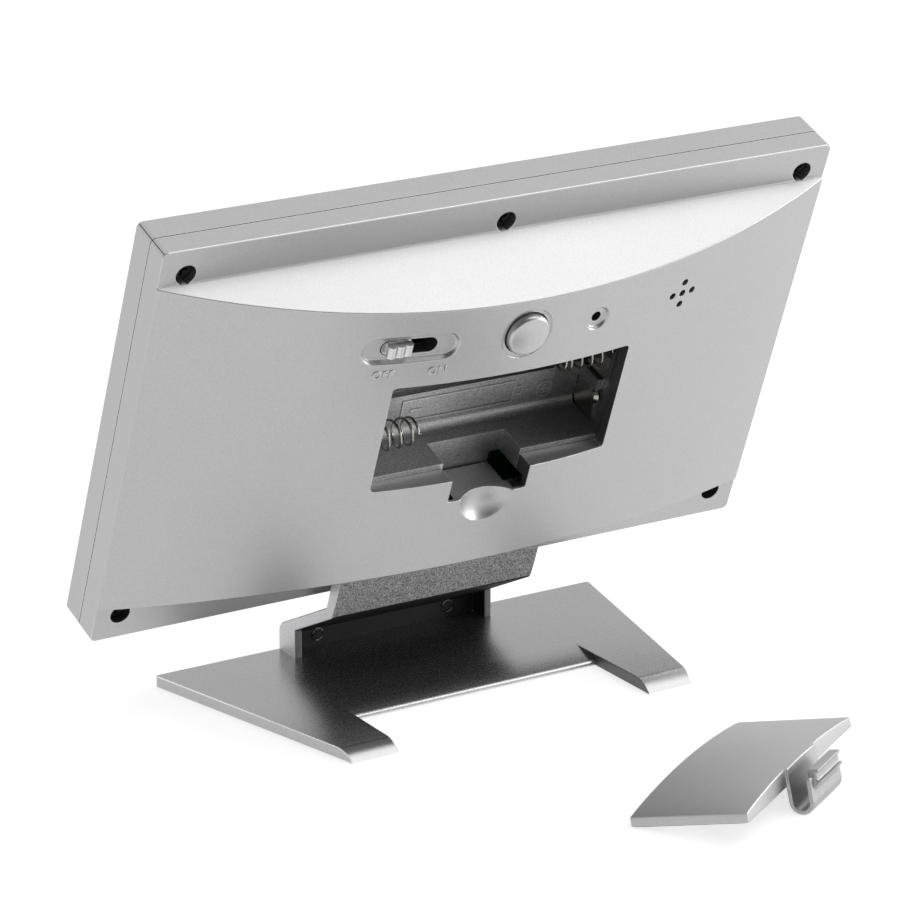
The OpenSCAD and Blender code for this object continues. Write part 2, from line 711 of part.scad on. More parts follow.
echo(str("least gap of a spring to itself, mm: ",
    min(least_gap(spring_path(lower_spring_l)), least_gap(spring_path(upper_spring_l)))));

module lower_cell_spring() {
    color("#d9d9d4") in_head() translate([tray_side - contact_t, cell_w, lower_cell_v])
        rotate([0, 180, 0]) wound_spring(lower_spring_l);
}
module upper_cell_spring() {
    color("#d9d9d4") in_head() translate([-tray_side + contact_t, cell_w, upper_cell_v])
        wound_spring(upper_spring_l);
}

// Battery cover, drawn where it fits and then laid on the desk
door_w = bay_w - 2 * door_gap;
door_h = bay_h - 2 * door_gap;
door_lo = bay_v - door_h / 2;
door_hi = bay_v + door_h / 2;
door_under_w = bulge_at(door_w / 2) - door_t;
clip_out = notch_lo + 0.9;
clip_tongue = 0.6;
clip_in = door_lo - clip_tongue;
clip_r = (clip_in + clip_t - clip_out) / 2;
clip_mid_v = clip_out + clip_r;
clip_bend_w = bulge_h - clip_drop + clip_r;
clip_top_w = catch_top_w - 0.3;
clip_arm_w = bulge_h - 2.2;
module clip_profile() {
    difference() {
        union() {
            translate([clip_bend_w, clip_mid_v]) circle(r = clip_r);
            translate([clip_bend_w, clip_out]) square([clip_arm_w - clip_bend_w, 2 * clip_r]);
        }
        translate([clip_bend_w, clip_mid_v]) circle(r = clip_r - clip_t);
        translate([clip_bend_w, clip_out + clip_t]) square([bulge_h, 2 * (clip_r - clip_t)]);
    }
}
module catch_profile() {
    top_w = bulge_h - 1;
    polygon([[catch_top_w - 1.6, clip_out], [catch_top_w, clip_out - 1.5],
        [catch_top_w + 0.1, clip_out - 0.7], [top_w - 0.7, clip_out - 0.7], [top_w - 0.6, clip_out - 1.2],
        [top_w, clip_out - 1.2], [top_w, clip_out + clip_t], [clip_top_w - 1, clip_out + clip_t]]);
}
module cover_slice(v0, v1, half, under_r) {
    translate([0, 0, v0]) linear_extrude(v1 - v0) difference() {
        bulge_segment(bulge_r, half);
        translate([0, bulge_h - bulge_r]) circle(r = under_r, $fn = 256);
        translate([-door_w, -rim_d - big]) square([2 * door_w, door_under_w + rim_d + big]);
    }
}
module battery_cover() {
    color(silver) translate([door_x, door_y, door_rest_z]) rotate([90 + door_tilt, 0, door_turn])
        translate([0, -bulge_h, -bay_v]) {
            cover_slice(door_lo, door_hi, door_w / 2, bulge_r - door_t);
            for (v = [door_lo, door_hi - flange_t]) cover_slice(v, v + flange_t, door_w / 2, 1);
            cover_slice(clip_in, door_lo + 0.1, clip_w / 2, 1);
            along_x(-clip_w / 2, clip_w / 2) clip_profile();
            along_x(-catch_w / 2, catch_w / 2) catch_profile();
            for (i = [-1, 1]) box(i * tab_x - tab_w / 2, i * tab_x + tab_w / 2, bulge_h - tab_drop,
                bulge_h - tab_drop + tab_t, door_hi - flange_t / 2, door_hi + tab_out);
        }
}
// Rest pose: the far long edge's ends and the bend of the clip touch the desk
corner_drop = bulge_h - door_under_w;
bend_drop = bulge_h - clip_bend_w;
rest_a = door_hi - clip_mid_v;
rest_b = corner_drop - bend_drop;
door_tilt = asin(clip_r / norm([rest_a, rest_b])) - atan2(rest_b, rest_a);
door_rest_z = door_h / 2 * sin(door_tilt) + corner_drop * cos(door_tilt);

module control_board() {
    color("#2e6b3e") in_head() difference() {
        box(ctrl_x0, ctrl_x1, ctrl_front_w, ctrl_back_w, ctrl_v0, ctrl_v1);
        for (p = ctrl_posts) rod(p[0], p[1], ctrl_front_w - big, ctrl_back_w + big, 1.9);
    }
}
module board_header() {
    color("#1b1b1d") in_head() box(6, 16, board_back_w, ctrl_front_w, ctrl_v0 + 0.4, ctrl_v0 + 2.9);
}

// Light button over its switch
switch_top_w = 8.9;
module light_button() {
    r = button_d / 2;
    edge_r = 0.8;
    crown = 0.3;
    flange_r = r + 0.9;
    stem_r = 1.5;
    stem_w = switch_top_w + button_travel + 0.1;
    color(silver) in_head() translate([0, 0, control_v]) rotate([-90, 0, 0]) rotate_extrude()
        polygon(concat([[0, stem_w], [stem_r, stem_w], [stem_r, button_flange_w - 0.9],
            [flange_r, button_flange_w - 0.9], [flange_r, button_flange_w], [r, button_flange_w]],
            arc(r - edge_r, button_top_w - crown - edge_r, edge_r, 0, 84),
            [for (i = [3:-1:0]) let(u = i / 4) [(r - edge_r) * u, button_top_w - crown * u * u]]));
}
module light_switch() {
    color("#1b1b1d") in_head() {
        box(-3, 3, ctrl_back_w, ctrl_back_w + 3.5, control_v - 3, control_v + 3);
        rod(0, control_v, ctrl_back_w + 3.4, switch_top_w, 3.4);
    }
}
reset_body_w = ctrl_back_w + 2.5;
reset_flange = 1.6;
module reset_plunger() {
    color("#2a2a2c") in_head() {
        rod(reset_x, control_v, reset_body_w + reset_travel + 0.1, reset_surface_w - wall - 1,
            reset_hole_d - 0.4);
        rod(reset_x, control_v, reset_body_w + reset_travel + 0.1, reset_body_w + reset_flange, 3.2);
    }
}
module reset_switch() {
    color("#1b1b1d") in_head() box(reset_x - 2.3, reset_x + 2.3, ctrl_back_w, reset_body_w,
        control_v - 2.3, control_v + 2.3);
}

// Alarm switch: body on the board, knob in the cover's slot
knob_h = switch_slot_h - 2 * fit;
knob_foot = knob_w + 1.1;
knob_travel = switch_slot_l - knob_foot - 2 * fit;
knob_x = switch_x + knob_travel / 2;
knob_base_w = slot_pad_w - fit;
knob_top_w = 12.8;
rib_d = knob_w / 3;
slide_top_w = knob_base_w - 1.3;
peg_w = 1.6;
module slide_switch() {
    color("#c9cbd0") in_head() difference() {
        box(switch_x - 6.5, switch_x + 6.5, ctrl_back_w, slide_top_w, control_v - 2.3, control_v + 2.3);
        box(switch_x - knob_travel / 2 - peg_w / 2 - fit, switch_x + knob_travel / 2 + peg_w / 2 + fit,
            slide_top_w - 1.5, slide_top_w + big, control_v - 1 - fit, control_v + 1 + fit);
    }
}
module switch_knob() {
    color(silver) in_head() translate([knob_x, 0, 0]) {
        pad(0, control_v, knob_foot, knob_h, knob_h / 2 - 0.01, knob_base_w - 0.1, knob_top_w - 2);
        box(-rib_d * 1.25, rib_d * 1.25, knob_top_w - 2.1, knob_top_w - rib_d / 2,
            control_v - knob_h / 2 + 0.4, control_v + knob_h / 2 - 0.4);
        for (i = [-1, 0, 1]) {
            translate([i * rib_d, knob_top_w - rib_d / 2, control_v - knob_h / 2 + 0.3])
                cylinder(d = rib_d + 0.02, h = knob_h - 0.6);
        }
        box(-knob_foot / 2 - 0.5, knob_foot / 2 + 2.2, knob_base_w - 0.7, knob_base_w,
            control_v - switch_slot_h / 2 - 0.7, control_v + switch_slot_h / 2 + 0.7);
        box(-peg_w / 2, peg_w / 2, slide_top_w - 1.2, knob_base_w - 0.6, control_v - 1, control_v + 1);
    }
}

// Sounder glued to its ring, with two wires down to the main board
plate_w = ring_w - 0.3;
disc_w = plate_w - 0.25;
module sounder_plate() {
    color("#c8a450") in_head() rod(sound_x, control_v, plate_w, ring_w, sounder_d);
}
module sounder_disc() {
    color("#e8e4da") in_head() rod(sound_x, control_v, disc_w, plate_w, sounder_d * 2 / 3);
}
module sounder_wires() {
    color("#9a2a22") in_head() {
        rod(sound_x, control_v, board_back_w, disc_w, 0.8);
        rod(sound_x - sounder_d * 0.4, control_v, board_back_w, plate_w, 0.8);
    }
}

module case_screws() {
    color("#3a3a3c") in_head() for (p = case_points)
        screw(p[0], p[1], screw_floor_w, case_screw_l, screw_d, screw_head_d, screw_head_t);
}
small_head_d = 3;
small_head_t = 1;
main_screw_l = 4.6;
ctrl_screw_l = 3.8;
neck_screw_bite = 4.2;
neck_head_t = 1.2;
module board_screws() {
    color("#8a8a8c") in_head() {
        for (p = board_post_points)
            screw(p[0], p[1], board_back_w, main_screw_l, board_screw_d, small_head_d, small_head_t);
        for (p = ctrl_posts)
            screw(p[0], p[1], ctrl_front_w, ctrl_screw_l, board_screw_d, small_head_d, small_head_t, -1);
    }
}
module neck_screws() {
    color("#8a8a8c") in_head() for (i = [-1, 1])
        screw(i * neck_boss_x, neck_boss_v, leaf_w, leaf_t + neck_screw_bite, screw_d, screw_head_d,
            neck_head_t, -1);
}

// Stand: the neck's outline is drawn in the plane of the base's middle
base_front_y = -base_d / 2;
plate_top = pad_proud + base_t;
foot_y = base_front_y + 0.2;
foot_back_y = foot_y + foot_d;
foot_r = 2.4;
function head_point(w, v) = [head_y + w * cos(head_tilt) + v * sin(head_tilt),
    head_z - w * sin(head_tilt) + v * cos(head_tilt)];
function head_w_of(p) = (p[0] - head_y) * cos(head_tilt) - (p[1] - head_z) * sin(head_tilt);
// Point where a line at the slab's slope meets a plane of the head
function meet(p, w) = p + (w - head_w_of(p)) / cos(slab_a + head_tilt) * [cos(slab_a), sin(slab_a)];
foot_corner = [foot_y, plate_top + foot_h - 0.1];
under_start = foot_corner + slab_t / cos(slab_a) * [0, -1];
function under_z(y) = under_start[1] + (y - under_start[0]) * tan(slab_a);
slab_top_end = meet(foot_corner, leaf_w);
slab_low_end = meet(under_start, leaf_back_w);
// Round corner between two directions that leave a corner point
function rounded_corner(p, a0, a1, r, n = 6) =
    let(half = (a1 - a0) / 2, mid = a0 + half, c = p + r / abs(sin(half)) * [cos(mid), sin(mid)],
        s0 = a0 - 90 * sign(half), s1 = a1 + 90 * sign(half),
        d = s1 - s0 - 360 * round((s1 - s0) / 360))
    [for (i = [0:n]) let(a = s0 + d * i / n) c + r * [cos(a), sin(a)]];

peg_x = (neck_w - foot_side_t) / 2;
peg_d = 1.4;
peg_head_d = 2.4;
peg_head_t = 0.8;
peg_places = [for (i = [-1, 1], y = [1.9, foot_d - 1.5]) [i * peg_x, foot_y + y]];
mark_x = 15;
module neck_profile() {
    polygon(concat([[foot_y, plate_top]],
        rounded_corner(foot_corner, -90, slab_a, foot_r),
        [slab_top_end, head_point(leaf_w, tongue_v), head_point(leaf_back_w, tongue_v)],
        rounded_corner(slab_low_end, 90 - head_tilt, 180 + slab_a, 1.3),
        [[foot_y + foot_front_t, under_z(foot_y + foot_front_t)],
        [foot_y + foot_front_t, plate_top]]));
}
module foot_side() {
    lift = slab_t / 2;
    polygon([[foot_y + foot_front_t / 2, plate_top], [foot_back_y, plate_top],
        [foot_back_y, under_z(foot_back_y) + lift],
        [foot_y + foot_front_t, under_z(foot_y + foot_front_t) + lift]]);
}
module stand_neck() {
    half = neck_w / 2;
    color("#4c4d50") difference() {
        union() {
            along_x(-half, half) neck_profile();
            for (x = [-half, half - foot_side_t]) along_x(x, x + foot_side_t) foot_side();
            for (i = [-1, 1]) translate([i * mark_x, foot_y + foot_front_t - 0.1, plate_top + 2.2])
                rotate([-90, 0, 0]) cylinder(d = 2.4, h = 0.25);
            for (p = peg_places) translate([p[0], p[1], pad_proud + 0.1]) {
                cylinder(d = peg_d, h = base_t + 0.1);
                cylinder(d = peg_head_d, h = peg_head_t);
            }
        }
        in_head() for (i = [-1, 1])
            rod(i * neck_boss_x, neck_boss_v, leaf_w - big, leaf_back_w + big, screw_d + 0.4);
    }
}

// Base plate: outline cut down by the profile of its legs and of its middle
module base_outline() {
    f = base_front_w / 2;
    tip = base_tip_w / 2;
    y0 = base_front_y;
    y1 = base_d / 2;
    side = atan2(base_d, tip - f);
    polygon(concat(rounded_corner([f, y0], 180, side, base_r),
        [[tip, y1], [leg_gap / 2, y1], [leg_gap / 2, y0 + plate_d], [-leg_gap / 2, y0 + plate_d],
        [-leg_gap / 2, y1], [-tip, y1]],
        rounded_corner([-f, y0], 180 - side, 0, base_r)));
}
module leg_profile() {
    y1 = base_d / 2;
    n = 10;
    polygon(concat([[base_front_y - big, pad_proud], [base_front_y - big, plate_top]],
        [for (i = [0:n]) let(u = i / n)
            [y1 - leg_end * (1 - u), pad_proud + base_t * (1 - u * u)]]));
}
module middle_profile() {
    y1 = base_front_y + plate_d;
    edge = 0.9;
    polygon(concat([[base_front_y - big, pad_proud], [base_front_y - big, plate_top],
        [base_front_y + slope_start, plate_top]],
        [for (i = [0:6]) let(a = 90 - 15 * i)
            [y1 - edge + edge * cos(a), pad_proud + edge * sin(a)]]));
}
pad_y0 = base_front_y + 7.5;
pad_y1 = base_front_y + slope_start - 0.5;
pad_half = leg_gap / 2 - 3;
leg_pad_d = 7;
leg_pad_x = (leg_gap / 2 + base_tip_w / 2) / 2 + 0.9;
leg_pad_y = base_d / 2 - leg_end - leg_pad_d / 2 - 1.9;
pad_deep = 0.8;
module pad_shapes(grow, height) {
    translate([-pad_half - grow, pad_y0 - grow, 0])
        cube([2 * (pad_half + grow), pad_y1 - pad_y0 + 2 * grow, height]);
    for (i = [-1, 1]) translate([i * leg_pad_x, leg_pad_y, 0])
        cylinder(d = leg_pad_d + 2 * grow, h = height);
}
module base_plate() {
    inner = leg_gap / 2;
    color(silver) difference() {
        intersection() {
            linear_extrude(plate_top + big) base_outline();
            union() {
                along_x(-inner, inner) middle_profile();
                for (i = [0, 1]) mirror([i, 0, 0]) along_x(inner, base_front_w) leg_profile();
            }
        }
        pad_shapes(0.1, pad_proud + pad_deep);
        for (p = peg_places) translate([p[0], p[1], 0]) {
            cylinder(d = peg_d + 0.1, h = plate_top + big);
            cylinder(d = peg_head_d + 0.3, h = pad_proud + peg_head_t + 0.15);
        }
    }
}
module base_pads() { color("#2b2b2d") pad_shapes(0, pad_proud + pad_deep); }

front_bezel();
display_window();
lcd_glass();
lcd_frame();
backlight_panel();
backlight_lamps();
contact_strip();
main_board();
chip_blob();
quartz_crystal();
key_mat();
mode_key();
set_key();
plus_key();
minus_key();
rear_cover();
battery_tray();
link_contact();
plus_contact();
minus_contact();
lower_cell_spring();
upper_cell_spring();
battery_cover();
control_board();
board_header();
light_button();
light_switch();
reset_plunger();
reset_switch();
slide_switch();
switch_knob();
sounder_plate();
sounder_disc();
sounder_wires();
case_screws();
board_screws();
neck_screws();
stand_neck();
base_plate();
base_pads();
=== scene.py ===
"""Finish of a leaning desk clock, seen from behind with its battery cover off."""

import math

import bmesh
import bpy
from mathutils import Matrix, Vector


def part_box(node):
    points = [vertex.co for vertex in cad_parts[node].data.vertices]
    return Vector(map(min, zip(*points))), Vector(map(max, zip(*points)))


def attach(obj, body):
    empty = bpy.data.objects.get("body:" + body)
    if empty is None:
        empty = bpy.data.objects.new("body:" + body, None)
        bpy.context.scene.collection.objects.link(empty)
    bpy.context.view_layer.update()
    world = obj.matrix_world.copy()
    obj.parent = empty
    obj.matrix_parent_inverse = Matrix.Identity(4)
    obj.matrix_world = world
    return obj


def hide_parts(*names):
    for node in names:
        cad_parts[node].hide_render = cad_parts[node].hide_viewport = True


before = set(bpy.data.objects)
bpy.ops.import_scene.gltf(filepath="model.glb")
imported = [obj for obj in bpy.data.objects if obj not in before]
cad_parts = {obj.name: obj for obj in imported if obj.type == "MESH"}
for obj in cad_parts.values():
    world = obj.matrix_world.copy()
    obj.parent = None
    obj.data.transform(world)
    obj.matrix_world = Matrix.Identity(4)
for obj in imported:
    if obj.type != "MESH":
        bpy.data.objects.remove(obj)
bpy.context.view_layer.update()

bl_info = {
    "name": "Desk Clock Finish",
    "version": (1, 0, 0),
    "blender": (4, 5, 0),
    "location": "3D View > Sidebar > Desk Clock",
    "description": "Rounds, winds, letters and paints the pieces of a desk clock",
    "category": "Object",
}

MM = 0.001

# The head's own axes, in millimetres: x across, w out of its back, v up its back
HEAD_TILT = math.radians(21.15)
HEAD_Y, HEAD_Z = -10.5, 19.0
HEAD_UP = Vector((0, math.sin(HEAD_TILT), math.cos(HEAD_TILT)))
HEAD_HALF_W, HEAD_H = 72.5, 88.6
RIM_REACH = 0.3
FRONT_FACE_W, FRONT_BACK_W, REAR_EDGE_W = -9.9, -5.3, -4.6
BULGE_R, BULGE_H = 200.04, 13.9
BULGE_LOW, BULGE_HIGH, BULGE_SLOPE = 7.6, 81.2, math.radians(24)
INSIDE_DEPTH = 1.2

# The battery opening in the back, its notch and the slab under it; BAY_LIP is where the painted
# shade under the opening's upper lip begins
BAY_HALF_W, BAY_LOW, BAY_HIGH, BAY_LIP = 27, 28.7, 60.5, 44.9
CATCH_HALF_W, CATCH_HIGH, CATCH_W = 7, 30, 10.4
SLAB_HALF_W, SLAB_LOW, SLAB_HIGH, SLAB_W = 8, 28.5, 29, 10.6

# The loose cover beside the clock: its middle, the way to its clip, and half its depth
COVER_MIDDLE = (-15.9, 73.9)
COVER_ACROSS = (-0.534, 0.845)
COVER_HALF_DEPTH = 11.9

# The stand
LEG_INNER_X, LEG_END_Y, PLATE_EDGE_Z = 28.1, 23.0, 0.7
NECK_SIDE_X, HOLLOW_HALF_W, NECK_BEND_V, FOOT_TOP_Z, FOOT_EDGE_Z = 22, 21.1, 8, 8, 2.6

# Two places closer than this are one, and an edge sharper than this is rounded
MERGE = 1e-6
SHARP = math.radians(28)


# ---------------------------------------------------------------- places on the leaning head

def on_head(x, w, v):
    """A place on the head in millimetres: across, out of the back and up the back."""
    c, s = math.cos(HEAD_TILT), math.sin(HEAD_TILT)
    return Vector((x, HEAD_Y + w * c + v * s, HEAD_Z - w * s + v * c)) * MM


def head_axes():
    """Up the back and out of the back, as directions."""
    here = on_head(0, 0, 0)
    return (on_head(0, 0, 1) - here).normalized(), (on_head(0, 1, 0) - here).normalized()


def back_frame(x, w, v, turn=0.0):
    """A frame on the back of the head: X to the reader's right, Y up the back, Z outwards."""
    up, out = head_axes()
    base = Matrix((Vector((-1, 0, 0)), up, out)).transposed().to_4x4()
    return Matrix.Translation(on_head(x, w, v)) @ base @ Matrix.Rotation(turn, 4, "Y")


def front_frame(x, w, v):
    """A frame on the front of the head: X to the reader's right, Y up, Z towards the reader."""
    up, out = head_axes()
    base = Matrix((Vector((1, 0, 0)), up, -out)).transposed().to_4x4()
    return Matrix.Translation(on_head(x, w, v)) @ base


def bulge_at(x):
    """Height of the bulge's surface over the rim plane."""
    return BULGE_H - BULGE_R + math.sqrt(BULGE_R ** 2 - x ** 2)


def head_xwv(point):
    """The head's own millimetres of a point in metres."""
    c, s = math.cos(HEAD_TILT), math.sin(HEAD_TILT)
    y, z = point.y / MM - HEAD_Y, point.z / MM - HEAD_Z
    return point.x / MM, y * c - z * s, y * s + z * c


# ---------------------------------------------------------------- sizes and colours

class DeskClockSizes(bpy.types.PropertyGroup):
    edge_round: bpy.props.FloatProperty(
        name="Edge rounding", description="Radius of the outer edges of the shells",
        default=0.25 * MM, min=0.0, unit="LENGTH", subtype="DISTANCE")
    letter_height: bpy.props.FloatProperty(
        name="Letter height", description="Height of the raised switch marks",
        default=1.65 * MM, min=0.0, unit="LENGTH", subtype="DISTANCE")
    spring_wire: bpy.props.FloatProperty(
        name="Spring wire", description="Diameter of the wire of the cell springs",
        default=0.5 * MM, min=0.0, unit="LENGTH", subtype="DISTANCE")
    digit_height: bpy.props.FloatProperty(
        name="Digit height", description="Height of the large digits of the display",
        default=27 * MM, min=0.0, unit="LENGTH", subtype="DISTANCE")


def colour(name, text, value):
    return bpy.props.FloatVectorProperty(
        name=name, description=text, default=value, size=3, min=0.0, max=1.0, subtype="COLOR")


class DeskClockColours(bpy.types.PropertyGroup):
    silver: colour("Silver", "Lacquer of the head, base and cover", (0.48, 0.48, 0.484))
    neck: colour("Neck", "Moulded plastic of the neck", (0.27, 0.27, 0.275))
    display: colour("Display", "Display glass at rest", (0.31, 0.36, 0.29))
    board: colour("Board", "Lacquer of the boards", (0.012, 0.085, 0.03))
    floor: colour("Floor", "Floor under the clock", (0.55, 0.55, 0.55))


def sizes():
    return bpy.context.scene.desk_clock_sizes


def colours():
    return bpy.context.scene.desk_clock_colours


# ---------------------------------------------------------------- nodes shared by the materials

def group(name, ins, outs):
    """An empty node group with the named sockets."""
    tree = bpy.data.node_groups.new(name, "ShaderNodeTree")
    for label, value in ins:
        s = tree.interface.new_socket(label, in_out="INPUT", socket_type="NodeSocketFloat")
        s.default_value = value
    for label in outs:
        tree.interface.new_socket(label, in_out="OUTPUT", socket_type="NodeSocketFloat")
    return tree, tree.nodes.new("NodeGroupInput"), tree.nodes.new("NodeGroupOutput")


def maths(tree, kind, a, b, c=None):
    n = tree.nodes.new("ShaderNodeMath")
    n.operation = kind
    for i, value in enumerate((a, b, c)):
        if isinstance(value, bpy.types.NodeSocket):
            tree.links.new(value, n.inputs[i])
        elif value is not None:
            n.inputs[i].default_value = value
    return n.outputs[0]


def varied(tree, mask, amount, tone):
    """A tone moved up and down by a 0 to 1 mask."""
    return maths(tree, "MULTIPLY_ADD", maths(tree, "SUBTRACT", mask, 0.5), amount, tone)


def ranged(tree, value, from_min, from_max, to_min, to_max, kind="LINEAR"):
    n = tree.nodes.new("ShaderNodeMapRange")
    n.interpolation_type = kind
    for label, number in (("From Min", from_min), ("From Max", from_max), ("To Min", to_min),
                          ("To Max", to_max)):
        n.inputs[label].default_value = number
    tree.links.new(value, n.inputs["Value"])
    return n.outputs["Result"]


def object_place(tree):
    return tree.nodes.new("ShaderNodeTexCoord").outputs["Object"]


def noise(tree, vector, scale, detail=2.0, rough=0.5):
    n = tree.nodes.new("ShaderNodeTexNoise")
    n.inputs["Detail"].default_value = detail
    n.inputs["Roughness"].default_value = rough
    if isinstance(scale, bpy.types.NodeSocket):
        tree.links.new(scale, n.inputs["Scale"])
    else:
        n.inputs["Scale"].default_value = scale
    tree.links.new(vector, n.inputs["Vector"])
    return n.outputs["Fac"]


def stretched(tree, vector, scale):
    n = tree.nodes.new("ShaderNodeVectorMath")
    n.operation = "MULTIPLY"
    n.inputs[1].default_value = scale
    tree.links.new(vector, n.inputs[0])
    return n.outputs[0]


def along(tree, vector, direction):
    """How far a place or a way lies along a direction."""
    n = tree.nodes.new("ShaderNodeVectorMath")
    n.operation = "DOT_PRODUCT"
    n.inputs[1].default_value = direction
    tree.links.new(vector, n.inputs[0])
    return n.outputs["Value"]


def make_flake_group():
    """Metallic flakes in lacquer: fine sparkle, soft clouds and faint lines across."""
    tree, i, o = group("lacquer_flakes", [("Flake Scale", 3600.0), ("Flakes", 0.12),
                                          ("Clouds", 0.05), ("Lines", 0.03)], ["Tone", "Height"])
    place = object_place(tree)
    fine = noise(tree, place, i.outputs["Flake Scale"], 3.0, 0.7)
    soft = noise(tree, place, 45.0)
    lines = noise(tree, stretched(tree, place, (60, 900, 900)), 1.0, 3.0)
    tone = varied(tree, fine, i.outputs["Flakes"], 1.0)
    tone = varied(tree, soft, i.outputs["Clouds"], tone)
    tone = varied(tree, lines, i.outputs["Lines"], tone)
    tree.links.new(tone, o.inputs["Tone"])
    tree.links.new(fine, o.inputs["Height"])
    return tree


def make_grain_group():
    """Pitted mould texture: dark pits and pale tips."""
    tree, i, o = group("moulded_grain", [("Grain Scale", 2200.0), ("Contrast", 1.0)],
                       ["Tone", "Height"])
    spread, darkest = 5.0, 0.12
    coarse = noise(tree, object_place(tree), i.outputs["Grain Scale"], 2.0, 0.6)
    pits = maths(tree, "MULTIPLY", maths(tree, "SUBTRACT", coarse, 0.5), spread)
    tone = maths(tree, "MULTIPLY_ADD", pits, i.outputs["Contrast"], 1.0)
    tree.links.new(maths(tree, "MAXIMUM", tone, darkest), o.inputs["Tone"])
    tree.links.new(coarse, o.inputs["Height"])
    return tree


def make_edge_highlight_group():
    """Where an edge is within reach: 0 on a flat, up to 1 on an edge; added to the base colour as a
    painted highlight.
    """
    tree, i, o = group("edge_highlight_mask", [("Reach", 0.0003), ("Strength", 1.0)], ["Edge"])
    gain = 6.0
    soft = tree.nodes.new("ShaderNodeBevel")
    soft.samples = 4
    tree.links.new(i.outputs["Reach"], soft.inputs["Radius"])
    dot = tree.nodes.new("ShaderNodeVectorMath")
    dot.operation = "DOT_PRODUCT"
    tree.links.new(soft.outputs[0], dot.inputs[0])
    tree.links.new(tree.nodes.new("ShaderNodeNewGeometry").outputs["Normal"], dot.inputs[1])
    turned = maths(tree, "MULTIPLY", maths(tree, "SUBTRACT", 1.0, dot.outputs["Value"]), gain)
    mask = maths(tree, "MULTIPLY", turned, i.outputs["Strength"])
    tree.links.new(maths(tree, "MINIMUM", mask, 1.0), o.inputs["Edge"])
    return tree


GROUPS = {}


def placed(tree, name, **values):
    """A node group in a material, with its own values."""
    n = tree.nodes.new("ShaderNodeGroup")
    n.node_tree = GROUPS[name]
    for label, value in values.items():
        n.inputs[label.replace("_", " ")].default_value = value
    return n


# Painted highlight: a mask that lightens the base colour along edges
def edge_highlight_of(tree, strength):
    return placed(tree, "edge", Reach=0.25 * MM, Strength=strength).outputs["Edge"]


# ---------------------------------------------------------------- materials

def material(name, base, roughness, metallic=0.0, specular=0.5):
    m = bpy.data.materials.new(name)
    m.use_nodes = True
    shader = m.node_tree.nodes["Principled BSDF"]
    shader.inputs["Base Color"].default_value = (*base, 1.0)
    shader.inputs["Roughness"].default_value = roughness
    shader.inputs["Metallic"].default_value = metallic
    shader.inputs["Specular IOR Level"].default_value = specular
    return m, m.node_tree, shader


def toned(tree, shader, base, tone):
    """Base Color as the base times a tone that changes over the surface."""
    n = tree.nodes.new("ShaderNodeVectorMath")
    n.operation = "SCALE"
    n.inputs[0].default_value = base
    tree.links.new(tone, n.inputs["Scale"])
    tree.links.new(n.outputs[0], shader.inputs["Base Color"])


def roughened(tree, shader, mask, low, high):
    tree.links.new(ranged(tree, mask, 0.0, 1.0, low, high), shader.inputs["Roughness"])


def bumped(tree, shader, height, distance, strength=1.0):
    n = tree.nodes.new("ShaderNodeBump")
    n.inputs["Distance"].default_value = distance
    n.inputs["Strength"].default_value = strength
    tree.links.new(height, n.inputs["Height"])
    tree.links.new(n.outputs[0], shader.inputs["Normal"])


def painted_bay_shade(tree):
    """Painted shade in the bay: darker towards its right end and under its upper lip."""
    place = object_place(tree)
    side = ranged(tree, along(tree, place, (1, 0, 0)), -22 * MM, 26 * MM, 0.62, 1.25)
    low = on_head(0, 0, BAY_LIP).dot(HEAD_UP)
    upper = ranged(tree, along(tree, place, HEAD_UP), low, low + 2.5 * MM, 1.0, 0.25)
    return maths(tree, "MULTIPLY", side, upper)


def lacquer(name, base, rough=(0.34, 0.42), metallic=0.95, flakes=0.5, edge=0.5, grain=0.01,
            shaded=False):
    """Satin silver lacquer with flakes and a painted highlight along edges; shaded adds the bay's
    painted shade.
    """
    m, tree, shader = material(name, base, rough[0], metallic)
    f = placed(tree, "flakes", Flakes=flakes)
    tone = maths(tree, "ADD", f.outputs["Tone"], edge_highlight_of(tree, edge))
    if shaded:
        tone = maths(tree, "MULTIPLY", tone, painted_bay_shade(tree))
    toned(tree, shader, base, tone)
    roughened(tree, shader, f.outputs["Height"], *rough)
    bumped(tree, shader, f.outputs["Height"], grain * MM, 0.5)
    return m


def moulded(name, base, scale, contrast, rough, metallic=0.0, bump=0.03, edge=0.3):
    """Pitted plastic from a textured mould, with a painted highlight along edges."""
    m, tree, shader = material(name, base, rough[0], metallic)
    g = placed(tree, "grain", Grain_Scale=scale, Contrast=contrast)
    toned(tree, shader, base, maths(tree, "ADD", g.outputs["Tone"], edge_highlight_of(tree, edge)))
    roughened(tree, shader, g.outputs["Height"], *rough)
    bumped(tree, shader, g.outputs["Height"], bump * MM, 0.8)
    return m


def plated(name, base, rough):
    """Plated sheet or wire with faint handling marks."""
    m, tree, shader = material(name, base, rough[0], 1.0)
    f = placed(tree, "flakes", Flake_Scale=900.0, Flakes=0.25, Clouds=0.4)
    toned(tree, shader, base, f.outputs["Tone"])
    roughened(tree, shader, f.outputs["Height"], *rough)
    return m


def clear_window(name):
    """Clear acrylic: see-through from the front and glossy at a glance."""
    m, tree, shader = material(name, (0.02, 0.022, 0.025), 0.04)
    weight = tree.nodes.new("ShaderNodeLayerWeight")
    weight.inputs["Blend"].default_value = 0.25
    alpha = ranged(tree, weight.outputs["Facing"], 0.0, 1.0, 0.1, 0.85)
    tree.links.new(alpha, shader.inputs["Alpha"])
    roughened(tree, shader, noise(tree, object_place(tree), 60.0), 0.03, 0.07)
    return m


